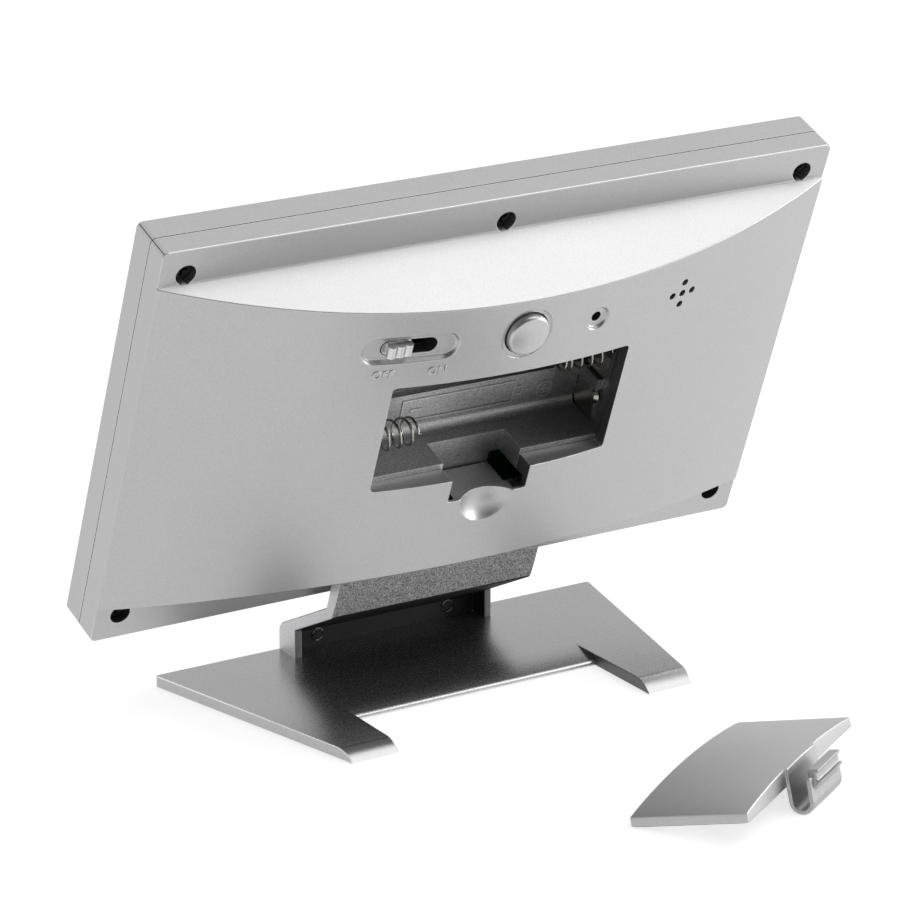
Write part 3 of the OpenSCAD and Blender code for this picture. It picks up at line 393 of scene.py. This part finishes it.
def board_face(name, base):
    """Lacquered board: copper tracks in rows under the lacquer."""
    m, tree, shader = material(name, base, 0.3)
    place = object_place(tree)
    v = tree.nodes.new("ShaderNodeTexVoronoi")
    v.distance = "CHEBYCHEV"
    v.feature = "DISTANCE_TO_EDGE"
    v.inputs["Scale"].default_value = 260.0
    tree.links.new(place, v.inputs["Vector"])
    track = maths(tree, "LESS_THAN", v.outputs["Distance"], 0.08)
    tone = maths(tree, "MULTIPLY_ADD", track, 0.9, 0.8)
    cloud = maths(tree, "MULTIPLY_ADD", noise(tree, place, 80.0), 0.4, tone)
    toned(tree, shader, base, cloud)
    bumped(tree, shader, track, 0.03 * MM)
    return m


MATERIALS = {}


def share(base, part):
    """A colour made darker or lighter as a whole."""
    return [x * part for x in base]


def make_lacquers(silver):
    MATERIALS.update(
        shell=lacquer("silver_lacquer_shell", silver),
        base=lacquer("silver_lacquer_base", share(silver, 0.69), (0.24, 0.31), 0.92, edge=0.3),
        # Painted highlight: a lighter copy of the base's silver for the legs' ends
        tip=lacquer("silver_lacquer_leg_ends_painted_highlight", share(silver, 0.84), (0.25, 0.32), 0.92, edge=0.2),
        door=lacquer("silver_lacquer_cover", share(silver, 0.96), (0.36, 0.44), edge=1.0),
        clip=lacquer("silver_lacquer_clip", share(silver, 0.82), (0.34, 0.46), 0.9, flakes=1.2),
        key=lacquer("silver_lacquer_keys", share(silver, 1.08), (0.3, 0.38)),
        knob=lacquer("silver_lacquer_knob", share(silver, 1.35), (0.3, 0.38)),
        # The tray takes the bay's painted shade
        tray=lacquer("silver_grey_tray", share(silver, 0.92), (0.34, 0.5), 0.85, flakes=2.6,
                     edge=0.9, grain=0.06, shaded=True),
        # Painted shade: a dark copy of the silver for the bay's side walls and the legs' inner
        # sides
        wall=lacquer("painted_shade_wall", share(silver, 0.32), (0.4, 0.5), 0.8, flakes=2.2),
        # Painted light: a lighter copy of the silver for the bay's up-facing faces, and a painted
        # highlight on the base's rims
        lip=lacquer("silver_lacquer_painted_light_lip", share(silver, 1.4), flakes=0.8, edge=1.2))


def make_plastics(neck, display):
    black, pin = (0.02, 0.02, 0.021), (0.03, 0.03, 0.032)
    # Name, colour, grain scale, contrast, roughness from smooth to pitted, and what differs
    for finish, name, base, scale, contrast, rough, other in (
            # Black painted shade for faces deep inside the shells: bores, slots and seams
            ("inside", "painted_shade_inside", black, 1400.0, 0.2, (0.55, 0.65), {}),
            ("neck", "dark_neck_grain", share(neck, 1.4), 3400.0, 0.9, (0.42, 0.52),
             {"metallic": 0.25}),
            # Painted light: a lighter, smoother copy of the neck plastic for its sides
            ("neck_side", "neck_side_painted_light", share(neck, 2.5), 2600.0, 0.12, (0.42, 0.5),
             {"metallic": 0.7}),
            # Painted shade: a near-black copy of the neck plastic for its foot's hollow
            ("neck_hollow", "neck_hollow_painted_shade", share(neck, 0.06), 1800.0, 0.3, (0.5, 0.6),
             {"edge": 0.0}),
            ("neck_end", "smooth_neck_end", neck, 2600.0, 0.12, (0.42, 0.5), {"metallic": 0.4}),
            ("black", "black_plastic", black, 1400.0, 0.2, (0.4, 0.5), {}),
            ("pin", "dark_pin_plastic", pin, 1400.0, 0.2, (0.5, 0.62), {}),
            ("foam", "foam_pad", (0.03, 0.03, 0.03), 1600.0, 0.6, (0.85, 0.95), {"bump": 0.1}),
            ("mat", "grey_silicone", (0.16, 0.165, 0.175), 900.0, 0.1, (0.55, 0.65),
             {"bump": 0.01}),
            ("zebra", "pink_silicone", (0.5, 0.16, 0.22), 900.0, 0.15, (0.5, 0.6),
             {"bump": 0.01}),
            ("guide", "milky_acrylic", (0.75, 0.78, 0.8), 500.0, 0.04, (0.2, 0.3),
             {"bump": 0.005}),
            ("lamp", "lamp_resin", (0.75, 0.66, 0.25), 500.0, 0.06, (0.2, 0.3),
             {"bump": 0.005}),
            ("resin", "black_resin", (0.006, 0.006, 0.007), 300.0, 0.1, (0.15, 0.25),
             {"bump": 0.02}),
            ("wire", "red_wire_cover", (0.3, 0.015, 0.01), 700.0, 0.08, (0.35, 0.45),
             {"bump": 0.005}),
            ("ceramic", "silvered_ceramic", (0.62, 0.6, 0.54), 900.0, 0.08, (0.3, 0.45),
             {"metallic": 0.3, "bump": 0.01}),
            # Black screws, darkened further as painted shade in their deep bores
            ("dark_screw", "black_screws_painted_shade", (0.012, 0.012, 0.013), 1800.0, 0.3, (0.35, 0.5),
             {}),
            ("glass", "display_glass", display, 160.0, 0.02, (0.14, 0.2),
             {"bump": 0.001, "edge": 0.0}),
            ("segment", "display_segments", share(display, 0.52), 900.0, 0.03, (0.2, 0.3),
             {"bump": 0.001, "edge": 0.0})):
        MATERIALS[finish] = moulded(name, base, scale, contrast, rough, **other)


def make_materials():
    GROUPS.update(flakes=make_flake_group(), grain=make_grain_group(), edge=make_edge_highlight_group())
    c = colours()
    make_lacquers(tuple(c.silver))
    make_plastics(tuple(c.neck), tuple(c.display))
    MATERIALS.update(
        nickel=plated("nickel_sheet", (0.36, 0.35, 0.33), (0.16, 0.3)),
        spring=plated("spring_wire", (0.34, 0.33, 0.31), (0.12, 0.24)),
        brass=plated("brass_sheet", (0.6, 0.42, 0.16), (0.25, 0.4)),
        zinc=plated("zinc_screws", (0.5, 0.5, 0.5), (0.25, 0.4)),
        lens=clear_window("clear_acrylic"),
        board=board_face("board_lacquer", tuple(c.board)))


NODE_FINISH = {
    "display_window": "lens", "lcd_glass": "glass", "lcd_frame": "black",
    "backlight_panel": "guide", "backlight_lamps": "lamp", "contact_strip": "zebra",
    "main_board": "board", "chip_blob": "resin", "quartz_crystal": "zinc", "key_mat": "mat",
    "battery_tray": "tray", "link_contact": "nickel", "plus_contact": "nickel",
    "minus_contact": "nickel", "lower_cell_spring": "spring", "upper_cell_spring": "spring",
    "control_board": "board", "board_header": "black", "light_switch": "black",
    "reset_plunger": "pin", "reset_switch": "black", "slide_switch": "zinc",
    "sounder_plate": "brass", "sounder_disc": "ceramic", "sounder_wires": "wire",
    "case_screws": "dark_screw", "board_screws": "zinc", "neck_screws": "zinc",
    "base_pads": "foam", "front_bezel": "shell", "rear_cover": "shell", "battery_cover": "door",
    "light_button": "key", "switch_knob": "knob", "mode_key": "key", "set_key": "key",
    "plus_key": "key", "minus_key": "key", "stand_neck": "neck", "base_plate": "base",
}


# ---------------------------------------------------------------- making pieces

def as_piece(mesh, name, finish, body):
    """A new object from a mesh, painted and riding on a body."""
    piece = bpy.data.objects.new(name, mesh)
    bpy.context.scene.collection.objects.link(piece)
    mesh.materials.clear()
    mesh.materials.append(MATERIALS[finish])
    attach(piece, body)
    return piece


def smooth_by_angle(mesh, degrees=30):
    mesh.shade_smooth()
    mesh.set_sharp_from_angle(angle=math.radians(degrees))


def from_bmesh(bm, name):
    bmesh.ops.recalc_face_normals(bm, faces=bm.faces)
    mesh = bpy.data.meshes.new(name)
    bm.to_mesh(mesh)
    bm.free()
    return mesh


def from_curve(curve):
    """The mesh of a curve or text, which is then deleted."""
    holder = bpy.data.objects.new(curve.name, curve)
    bpy.context.scene.collection.objects.link(holder)
    bpy.context.view_layer.update()
    mesh = bpy.data.meshes.new_from_object(
        holder.evaluated_get(bpy.context.evaluated_depsgraph_get()))
    bpy.data.objects.remove(holder)
    bpy.data.curves.remove(curve)
    return mesh


def rounded_copy(node, name, body, width, outer, kinds, kind_of):
    """A merged copy of a CAD node: its outer edges rounded, faces of other kinds painted apart."""
    bm = bmesh.new()
    bm.from_mesh(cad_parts[node].data)
    bmesh.ops.remove_doubles(bm, verts=bm.verts, dist=MERGE)
    bmesh.ops.dissolve_limit(bm, angle_limit=math.radians(0.4), verts=bm.verts, edges=bm.edges)
    sharp = [e for e in bm.edges if e.is_manifold and e.calc_face_angle(0) > SHARP
             and outer(*head_xwv((e.verts[0].co + e.verts[1].co) / 2), e)]
    bmesh.ops.bevel(bm, geom=sharp, offset=width, offset_type="OFFSET", segments=2,
                    profile=0.5, affect="EDGES", material=-1, clamp_overlap=False)
    bmesh.ops.remove_doubles(bm, verts=bm.verts, dist=MERGE)
    mesh = bpy.data.meshes.new(name)
    bm.to_mesh(mesh)
    bm.free()
    smooth_by_angle(mesh)
    piece = as_piece(mesh, name, NODE_FINISH[node], body)
    for kind in kinds:
        mesh.materials.append(MATERIALS[kind])
    for face in mesh.polygons:
        face.material_index = int(kind_of(face, *head_xwv(face.center)))
    piece.modifiers.new("Weighted normals", "WEIGHTED_NORMAL").keep_sharp = True
    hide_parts(node)


def on_rim(x, v, reach=RIM_REACH):
    """Whether a place lies on the sides of the head."""
    return abs(x) > HEAD_HALF_W - reach or v < reach or v > HEAD_H - reach


def edge_height(edge):
    """Height of an edge's middle over the floor, in millimetres."""
    return (edge.verts[0].co.z + edge.verts[1].co.z) / 2 / MM


def rear_edge(x, w, v, edge):
    """Outer edges of the rear shell, without the slab's edge over the finger scoop."""
    on_slab = abs(x) < SLAB_HALF_W and SLAB_LOW < v < SLAB_HIGH and w > SLAB_W
    return w > REAR_EDGE_W and not on_slab


def front_edge(x, w, v, edge):
    """Outer edges of the front shell and its face."""
    return w < FRONT_BACK_W and (on_rim(x, v, 0.5) or w < FRONT_FACE_W)


def any_edge(x, w, v, edge):
    return True


def plate_edge(x, w, v, edge):
    return edge_height(edge) > PLATE_EDGE_Z


def foot_edge(x, w, v, edge):
    return v < NECK_BEND_V and edge_height(edge) > FOOT_EDGE_Z


def rear_height(x, v):
    """Height of the head's outer surface at a place on its back."""
    strip = min(v - BULGE_LOW, BULGE_HIGH - v)
    return 0.0 if strip < 0 else min(bulge_at(x), strip / math.tan(BULGE_SLOPE))


def rear_kind(face, x, w, v):
    """1 for faces deep inside the rear shell, black as painted shade; 2 for the bay's side walls,
    painted shade; 3 for the bay's up-facing lip faces, painted light; else 0.
    """
    if abs(x) < BAY_HALF_W and BAY_LOW < v < BAY_HIGH:
        if abs(face.normal.x) > 0.7:
            return 2
        return 3 if face.normal.dot(HEAD_UP) > 0.7 else 0
    outer_side = w > REAR_EDGE_W - 0.1 and on_rim(x, v)
    in_catch = abs(x) < CATCH_HALF_W and v < CATCH_HIGH and w > CATCH_W
    return rear_height(x, v) - w > INSIDE_DEPTH and not outer_side and not in_catch


def front_kind(face, x, w, v):
    """1 for faces of the front shell behind its face and off its rim, black as painted shade, else
    0.
    """
    return w > FRONT_FACE_W and not on_rim(x, v)


def cover_kind(face, x, w, v):
    """1 for the spring clip of the loose cover, which lies beyond its plate's edge, else 0."""
    offset = [face.center[i] / MM - COVER_MIDDLE[i] for i in (0, 1)]
    return offset[0] * COVER_ACROSS[0] + offset[1] * COVER_ACROSS[1] > COVER_HALF_DEPTH


def base_kind(face, x, w, v):
    """1 for the legs' inner sides, painted shade; 2 for the outer sides, painted lighter; 3 for the
    legs' ends and 4 for rims, painted highlight.
    """
    n, y = face.normal, face.center.y / MM
    if abs(n.x) < 0.3:
        if n.y < 0.3 or n.z < 0.1:
            return 0
        return 3 if y > LEG_END_Y else 4
    if 0.3 < n.z < 0.95 and n.y > 0.05 and abs(x) > LEG_INNER_X + 0.9:
        return 4
    if abs(n.x) < 0.5:
        return 0
    return 1 if abs(abs(x) - LEG_INNER_X) < 0.5 else 2


def neck_kind(face, x, w, v):
    """1 for the neck's sides, painted lighter; 2 for its foot's hollow, painted shade; 3 for the
    foot's ends, else 0.
    """
    n = face.normal
    if abs(n.x) > 0.9:
        return 1 if abs(x) > NECK_SIDE_X else 2
    if n.z < -0.5:
        return 2
    if n.y > 0.8 and face.center.z / MM < FOOT_TOP_Z:
        return 2 if abs(x) < HOLLOW_HALF_W else 3
    return 0


# ---------------------------------------------------------------- operators of the pieces

class CLOCK_OT_paint(bpy.types.Operator):
    """Give every carried-over part its finish"""
    bl_idname = "desk_clock.paint"
    bl_label = "Paint the clock's parts"

    def execute(self, context):
        make_materials()
        for node, finish in NODE_FINISH.items():
            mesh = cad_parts[node].data
            mesh.materials.clear()
            mesh.materials.append(MATERIALS[finish])
        return {"FINISHED"}


class CLOCK_OT_head_shells(bpy.types.Operator):
    """Round the outer edges of the rear and front shells of the head"""
    bl_idname = "desk_clock.head_shells"
    bl_label = "Round the head's shells"

    def execute(self, context):
        r = sizes().edge_round
        rounded_copy("rear_cover", "rear_shell", "clock", r * 0.8, rear_edge,
                     ("inside", "wall", "lip"), rear_kind)
        rounded_copy("front_bezel", "front_shell", "clock", r, front_edge,
                     ("inside",), front_kind)
        return {"FINISHED"}


class CLOCK_OT_loose_cover(bpy.types.Operator):
    """Round the edges of the loose battery cover"""
    bl_idname = "desk_clock.loose_cover"
    bl_label = "Round the loose cover"

    def execute(self, context):
        rounded_copy("battery_cover", "loose_cover", "battery_cover", sizes().edge_round,
                     any_edge, ("clip",), cover_kind)
        return {"FINISHED"}


class CLOCK_OT_stand(bpy.types.Operator):
    """Round the upper edges of the base plate and the foot of the neck"""
    bl_idname = "desk_clock.stand"
    bl_label = "Round the stand"

    def execute(self, context):
        r = sizes().edge_round
        rounded_copy("base_plate", "base_shell", "clock", r * 0.8, plate_edge,
                     ("wall", "shell", "tip", "lip"), base_kind)
        rounded_copy("stand_neck", "neck_shell", "clock", r, foot_edge,
                     ("neck_side", "neck_hollow", "neck_end"), neck_kind)
        return {"FINISHED"}


def coil_points(x0, x1, centre, r0, r1, wire, turns, steps=24):
    """Points of a tapering helix about X whose last turn is closed."""
    end_pitch = 0.5
    open_turns = turns - 1
    span = abs(x1 - x0) - 2 * wire
    way = 1 if x1 > x0 else -1
    found = [Vector((x0, centre.y + r0, centre.z))]
    for i in range(turns * steps + 1):
        t = i / (turns * steps)
        s = turns * t
        run = s if s < open_turns else open_turns + (s - open_turns) * end_pitch
        run /= open_turns + end_pitch
        a, r = 2 * math.pi * s, r0 * (1 - t) + r1 * t
        found.append(Vector((x0 + way * (wire + span * run), centre.y + r * math.cos(a),
                             centre.z + way * r * math.sin(a))))
    found.append(found[-1] + Vector((way * wire, 0, 0)))
    return found


def wire_mesh(name, points, diameter):
    """A round wire along points, as a mesh."""
    curve = bpy.data.curves.new(name + "_line", "CURVE")
    curve.dimensions = "3D"
    spline = curve.splines.new("POLY")
    spline.points.add(len(points) - 1)
    for p, co in zip(spline.points, points):
        p.co = (*co, 1.0)
    curve.bevel_depth = diameter / 2
    curve.bevel_resolution = 3
    curve.use_fill_caps = True
    mesh = from_curve(curve)
    mesh.name = name
    smooth_by_angle(mesh, 50)
    return mesh


class CLOCK_OT_springs(bpy.types.Operator):
    """Wind the two cell springs from round wire"""
    bl_idname = "desk_clock.springs"
    bl_label = "Wind the cell springs"

    def execute(self, context):
        wire, turns = sizes().spring_wire, 5
        wide, narrow = 2.95 * MM, 2.55 * MM
        for node, at_left in (("lower_cell_spring", True), ("upper_cell_spring", False)):
            low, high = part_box(node)
            x0, x1 = (high.x, low.x) if at_left else (low.x, high.x)
            points = coil_points(x0, x1, (low + high) / 2, wide, narrow, wire, turns)
            name = node.replace("cell_spring", "coil")
            piece = as_piece(wire_mesh(name, points, wire), name, "spring", "clock")
            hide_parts(node)
        return {"FINISHED"}


def raised_text(name, words, height, depth, place):
    """Raised letters, made a mesh before their place is applied."""
    curve = bpy.data.curves.new(name + "_letters", "FONT")
    curve.body = words
    curve.size = height * 1.4
    curve.align_x, curve.align_y = "CENTER", "CENTER"
    curve.extrude = depth
    curve.bevel_depth = depth * 0.35
    curve.bevel_resolution = 1
    curve.space_character = 1.12
    mesh = from_curve(curve)
    mesh.name = name
    mesh.transform(place)
    return mesh


class CLOCK_OT_switch_marks(bpy.types.Operator):
    """Raise the plain marks beside the alarm switch"""
    bl_idname = "desk_clock.switch_marks"
    bl_label = "Raise the switch marks"

    def execute(self, context):
        depth = 0.11 * MM
        for words, x, v in (("OFF", 28.8, 62.05), ("ON", 17.9, 61.95)):
            place = back_frame(x, bulge_at(x), v, math.asin(-x / BULGE_R))
            name = "mark_" + words.lower()
            mesh = raised_text(name, words, sizes().letter_height, depth, place)
            as_piece(mesh, name, "shell", "clock")
        return {"FINISHED"}


def add_bar(bm, x0, x1, y0, y1, z0, z1, place):
    made = bmesh.ops.create_cube(bm, size=1.0)["verts"]
    bmesh.ops.scale(bm, vec=(x1 - x0, y1 - y0, z1 - z0), verts=made)
    bmesh.ops.translate(bm, vec=((x0 + x1) / 2, (y0 + y1) / 2, (z0 + z1) / 2), verts=made)
    bmesh.ops.transform(bm, matrix=place, verts=made)


def raised_faces(bm, faces, way):
    """Faces made solid along a way, and the new points."""
    made = bmesh.ops.extrude_face_region(bm, geom=faces)["geom"]
    moved = [g for g in made if isinstance(g, bmesh.types.BMVert)]
    bmesh.ops.translate(bm, vec=way, verts=moved)
    return moved


def add_ring(bm, x, y, radius, line, z0, z1, place):
    """A flat ring of one line's width, its middle line at the radius."""
    spans = []
    for r in (radius - line / 2, radius + line / 2):
        spans += bmesh.ops.create_circle(bm, segments=48, radius=r)["verts"]
    edges = list({e for v in spans for e in v.link_edges})
    faces = bmesh.ops.bridge_loops(bm, edges=edges)["faces"]
    spans += raised_faces(bm, faces, (0, 0, z1 - z0))
    bmesh.ops.translate(bm, vec=(x, y, z0), verts=spans)
    bmesh.ops.transform(bm, matrix=place, verts=spans)


class CLOCK_OT_tray_marks(bpy.types.Operator):
    """Raise the outline of a cell with its plus and minus on the tray's floor"""
    bl_idname = "desk_clock.tray_marks"
    bl_label = "Raise the tray's marks"

    def execute(self, context):
        bm = bmesh.new()
        place = back_frame(0, -0.3, 0)
        z0, z1, line = -0.05 * MM, 0.2 * MM, 0.3 * MM
        half = line / 2
        left, right, low, high = -13.6 * MM, 11.6 * MM, 39.1 * MM, 44.2 * MM
        tip, shoulder = 13.4 * MM, 1.5 * MM
        plus_x, plus_y, minus_x, minus_y = 18.5 * MM, 40.92 * MM, -10.25 * MM, 41.65 * MM
        stroke, plus_half, minus_half = 0.2 * MM, 1.1 * MM, 1.35 * MM
        for x0, x1, y0, y1 in (
                (left, right, low, low + line),
                (left, right, high - line, high),
                (left, left + line, low + half, high - half),
                (right - line, right, low + half, high - half),
                (right - half, tip, low + shoulder, low + shoulder + line),
                (right - half, tip, high - shoulder - line, high - shoulder),
                (tip - line, tip, low + shoulder + half, high - shoulder - half),
                (plus_x - plus_half, plus_x + plus_half, plus_y - stroke, plus_y + stroke),
                (plus_x - stroke, plus_x + stroke, plus_y - plus_half, plus_y + plus_half),
                (minus_x - minus_half, minus_x + minus_half, minus_y - stroke,
                 minus_y + stroke)):
            add_bar(bm, x0, x1, y0, y1, z0, z1, place)
        add_ring(bm, plus_x, 40.9 * MM, 1.75 * MM, line, z0, z1, place)
        as_piece(from_bmesh(bm, "cell_outline"), "cell_outline", "tray", "clock")
        return {"FINISHED"}


# Ends of a digit's seven segments as shares of its width and height: x0, y0, x1, y1
SEGMENTS = ((0, 1, 1, 1), (0, 0.5, 1, 0.5), (0, 0, 1, 0), (0, 0.5, 0, 1), (0, 0, 0, 0.5),
            (1, 0.5, 1, 1), (1, 0, 1, 0.5))
LEAN = math.tan(math.radians(6))


def add_segment(bm, start, end, thick, place):
    """One flat six-sided bar of a digit, from one end to the other."""
    way = (end - start).normalized() * thick / 2
    side = Vector((-way.y, way.x, 0))
    ring = [start, start + way + side, end - way + side, end, end - way - side,
            start + way - side]
    bm.faces.new([bm.verts.new(place @ p) for p in ring])


def add_digit(bm, x, y, w, h, thick, z, place):
    """Seven segments of one digit, leaning a little to the right."""
    for x0, y0, x1, y1 in SEGMENTS:
        start, end = Vector((x + x0 * w, y + y0 * h, z)), Vector((x + x1 * w, y + y1 * h, z))
        gap = (end - start).normalized() * thick * 0.12
        start, end = start + gap, end - gap
        for p in (start, end):
            p.x += (p.y - y) * LEAN
        add_segment(bm, start, end, thick, place)


class CLOCK_OT_display(bpy.types.Operator):
    """Print the faint segments of a display at rest"""
    bl_idname = "desk_clock.display"
    bl_label = "Print the display's segments"

    def execute(self, context):
        bm = bmesh.new()
        place = front_frame(0, -8.5, 50.9)
        z, print_depth = 0.04 * MM, 0.03 * MM
        h, low, small_low = sizes().digit_height, -8.5 * MM, -22 * MM
        w, thick = h * 0.5, h * 0.115
        step = w + 5.6 * MM
        for x in (-2.24, -1.2, 0.2, 1.24):
            add_digit(bm, x * step, low, w, h, thick, z, place)
        dot = 1.5 * MM
        for part in (0.3, 0.7):
            x, y = 3.4 * MM * part - 3.2 * MM, low + h * part
            add_bar(bm, x - dot, x + dot, y - dot, y + dot, z - print_depth, z, place)
        small = h * 0.3
        for x in (-44, -38, -28, -22, -6, 0, 16, 22, 34, 40):
            add_digit(bm, x * MM, small_low, small * 0.5, small, small * 0.12, z, place)
        flat = [f for f in bm.faces if len(f.verts) == 6]
        raised_faces(bm, flat, head_axes()[1] * print_depth)
        as_piece(from_bmesh(bm, "display_segments"), "display_segments", "segment", "clock")
        return {"FINISHED"}


# ---------------------------------------------------------------- stage

PHOTO_WIDTH = 900
FOCAL_IN_PIXELS = 4511.66
CAMERA_PLACE = (432.836, 690.61, 316.507)
CAMERA_AZIMUTH, CAMERA_RISE = math.radians(147.924), math.radians(18.303)
LAMP_AIM = (0, 0, 0.05)
LIT_BY_WORLD, FLOOR_GLOW = 0.55, 0.7
DARK_SIDE = Vector((0.35, 0.85, 0.35)).normalized()


def seen_mask(tree):
    """1 for what the camera, gloss and glass see, 0 for what lights."""
    path = tree.nodes.new("ShaderNodeLightPath")
    seen = maths(tree, "MAXIMUM", path.outputs["Is Camera Ray"], path.outputs["Is Glossy Ray"])
    return maths(tree, "MAXIMUM", seen, path.outputs["Is Transmission Ray"])


def add_floor(scene):
    """A pale floor whose glow makes it white to the eye without lighting the clock."""
    bm = bmesh.new()
    bmesh.ops.create_grid(bm, x_segments=1, y_segments=1, size=3.0)
    floor = bpy.data.objects.new("floor", from_bmesh(bm, "floor"))
    scene.collection.objects.link(floor)
    m, tree, shader = material("pale_floor", tuple(colours().floor), 0.9, 0.0, 0.0)
    glow = maths(tree, "MULTIPLY", seen_mask(tree), FLOOR_GLOW)
    shader.inputs["Emission Color"].default_value = (1, 1, 1, 1)
    tree.links.new(glow, shader.inputs["Emission Strength"])
    floor.data.materials.append(m)


def add_world(scene):
    """White surroundings that light softly, with a dim side for gloss behind the clock's back."""
    world = bpy.data.worlds.new("white_surroundings")
    scene.world = world
    world.use_nodes = True
    tree = world.node_tree
    back = tree.nodes["Background"]
    back.inputs["Color"].default_value = (1, 1, 1, 1)
    way = tree.nodes.new("ShaderNodeTexCoord").outputs["Generated"]
    gloss = ranged(tree, along(tree, way, DARK_SIDE), 0.1, 0.8, 1.0, 0.1, "SMOOTHSTEP")
    over = maths(tree, "SUBTRACT", gloss, LIT_BY_WORLD)
    level = maths(tree, "MULTIPLY_ADD", seen_mask(tree), over, LIT_BY_WORLD)
    camera_ray = tree.nodes.new("ShaderNodeLightPath").outputs["Is Camera Ray"]
    tree.links.new(maths(tree, "MAXIMUM", level, camera_ray), back.inputs["Strength"])


def add_lamp(scene, name, place, size, watts):
    lamp = bpy.data.lights.new(name, "AREA")
    lamp.shape = "RECTANGLE"
    lamp.size, lamp.size_y = size
    lamp.energy = watts
    holder = bpy.data.objects.new(name, lamp)
    scene.collection.objects.link(holder)
    holder.location = place
    holder.rotation_euler = (Vector(place) - Vector(LAMP_AIM)).to_track_quat("Z", "Y").to_euler()


def add_camera(scene):
    """The camera at the photograph's place, with its long lens."""
    camera = bpy.data.cameras.new("photo_camera")
    holder = bpy.data.objects.new("photo_camera", camera)
    scene.collection.objects.link(holder)
    level = math.cos(CAMERA_RISE)
    back_way = Vector((math.sin(CAMERA_AZIMUTH) * level, -math.cos(CAMERA_AZIMUTH) * level,
                       math.sin(CAMERA_RISE)))
    holder.location = Vector(CAMERA_PLACE) * MM
    holder.rotation_euler = back_way.to_track_quat("Z", "Y").to_euler()
    camera.sensor_width = 36.0
    camera.lens = FOCAL_IN_PIXELS / PHOTO_WIDTH * camera.sensor_width
    camera.clip_start, camera.clip_end = 0.05, 20.0
    scene.camera = holder


class CLOCK_OT_stage(bpy.types.Operator):
    """Set the floor, lamps, surroundings and camera"""
    bl_idname = "desk_clock.stage"
    bl_label = "Set the stage"

    def execute(self, context):
        scene = context.scene
        scene.view_settings.view_transform = "Standard"
        add_floor(scene)
        add_world(scene)
        add_lamp(scene, "top_softbox", (-0.45, 0.35, 0.85), (0.7, 0.5), 2.15)
        add_lamp(scene, "right_key", (-0.95, 0.42, 0.17), (0.5, 0.3), 4.2)
        add_camera(scene)
        return {"FINISHED"}


# ---------------------------------------------------------------- panel and main

OPERATORS = (CLOCK_OT_paint, CLOCK_OT_head_shells, CLOCK_OT_loose_cover, CLOCK_OT_stand,
             CLOCK_OT_springs, CLOCK_OT_switch_marks, CLOCK_OT_tray_marks, CLOCK_OT_display,
             CLOCK_OT_stage)


class CLOCK_PT_panel(bpy.types.Panel):
    """The clock's steps, sizes and colours"""
    bl_idname = "CLOCK_PT_panel"
    bl_label = "Desk Clock"
    bl_space_type = "VIEW_3D"
    bl_region_type = "UI"
    bl_category = "Desk Clock"

    def draw(self, context):
        for kind in OPERATORS:
            self.layout.operator(kind.bl_idname)
        for settings in (sizes(), colours()):
            for name in settings.__annotations__:
                self.layout.prop(settings, name)


CLASSES = (DeskClockSizes, DeskClockColours, *OPERATORS, CLOCK_PT_panel)


def register():
    for kind in CLASSES:
        bpy.utils.register_class(kind)
    bpy.types.Scene.desk_clock_sizes = bpy.props.PointerProperty(type=DeskClockSizes)
    bpy.types.Scene.desk_clock_colours = bpy.props.PointerProperty(type=DeskClockColours)


def unregister():
    del bpy.types.Scene.desk_clock_colours
    del bpy.types.Scene.desk_clock_sizes
    for kind in reversed(CLASSES):
        bpy.utils.unregister_class(kind)


def main():
    register()
    bpy.ops.desk_clock.paint()
    bpy.ops.desk_clock.head_shells()
    bpy.ops.desk_clock.loose_cover()
    bpy.ops.desk_clock.stand()
    bpy.ops.desk_clock.springs()
    bpy.ops.desk_clock.switch_marks()
    bpy.ops.desk_clock.tray_marks()
    bpy.ops.desk_clock.display()
    bpy.ops.desk_clock.stage()


if __name__ == "__main__":
    main()
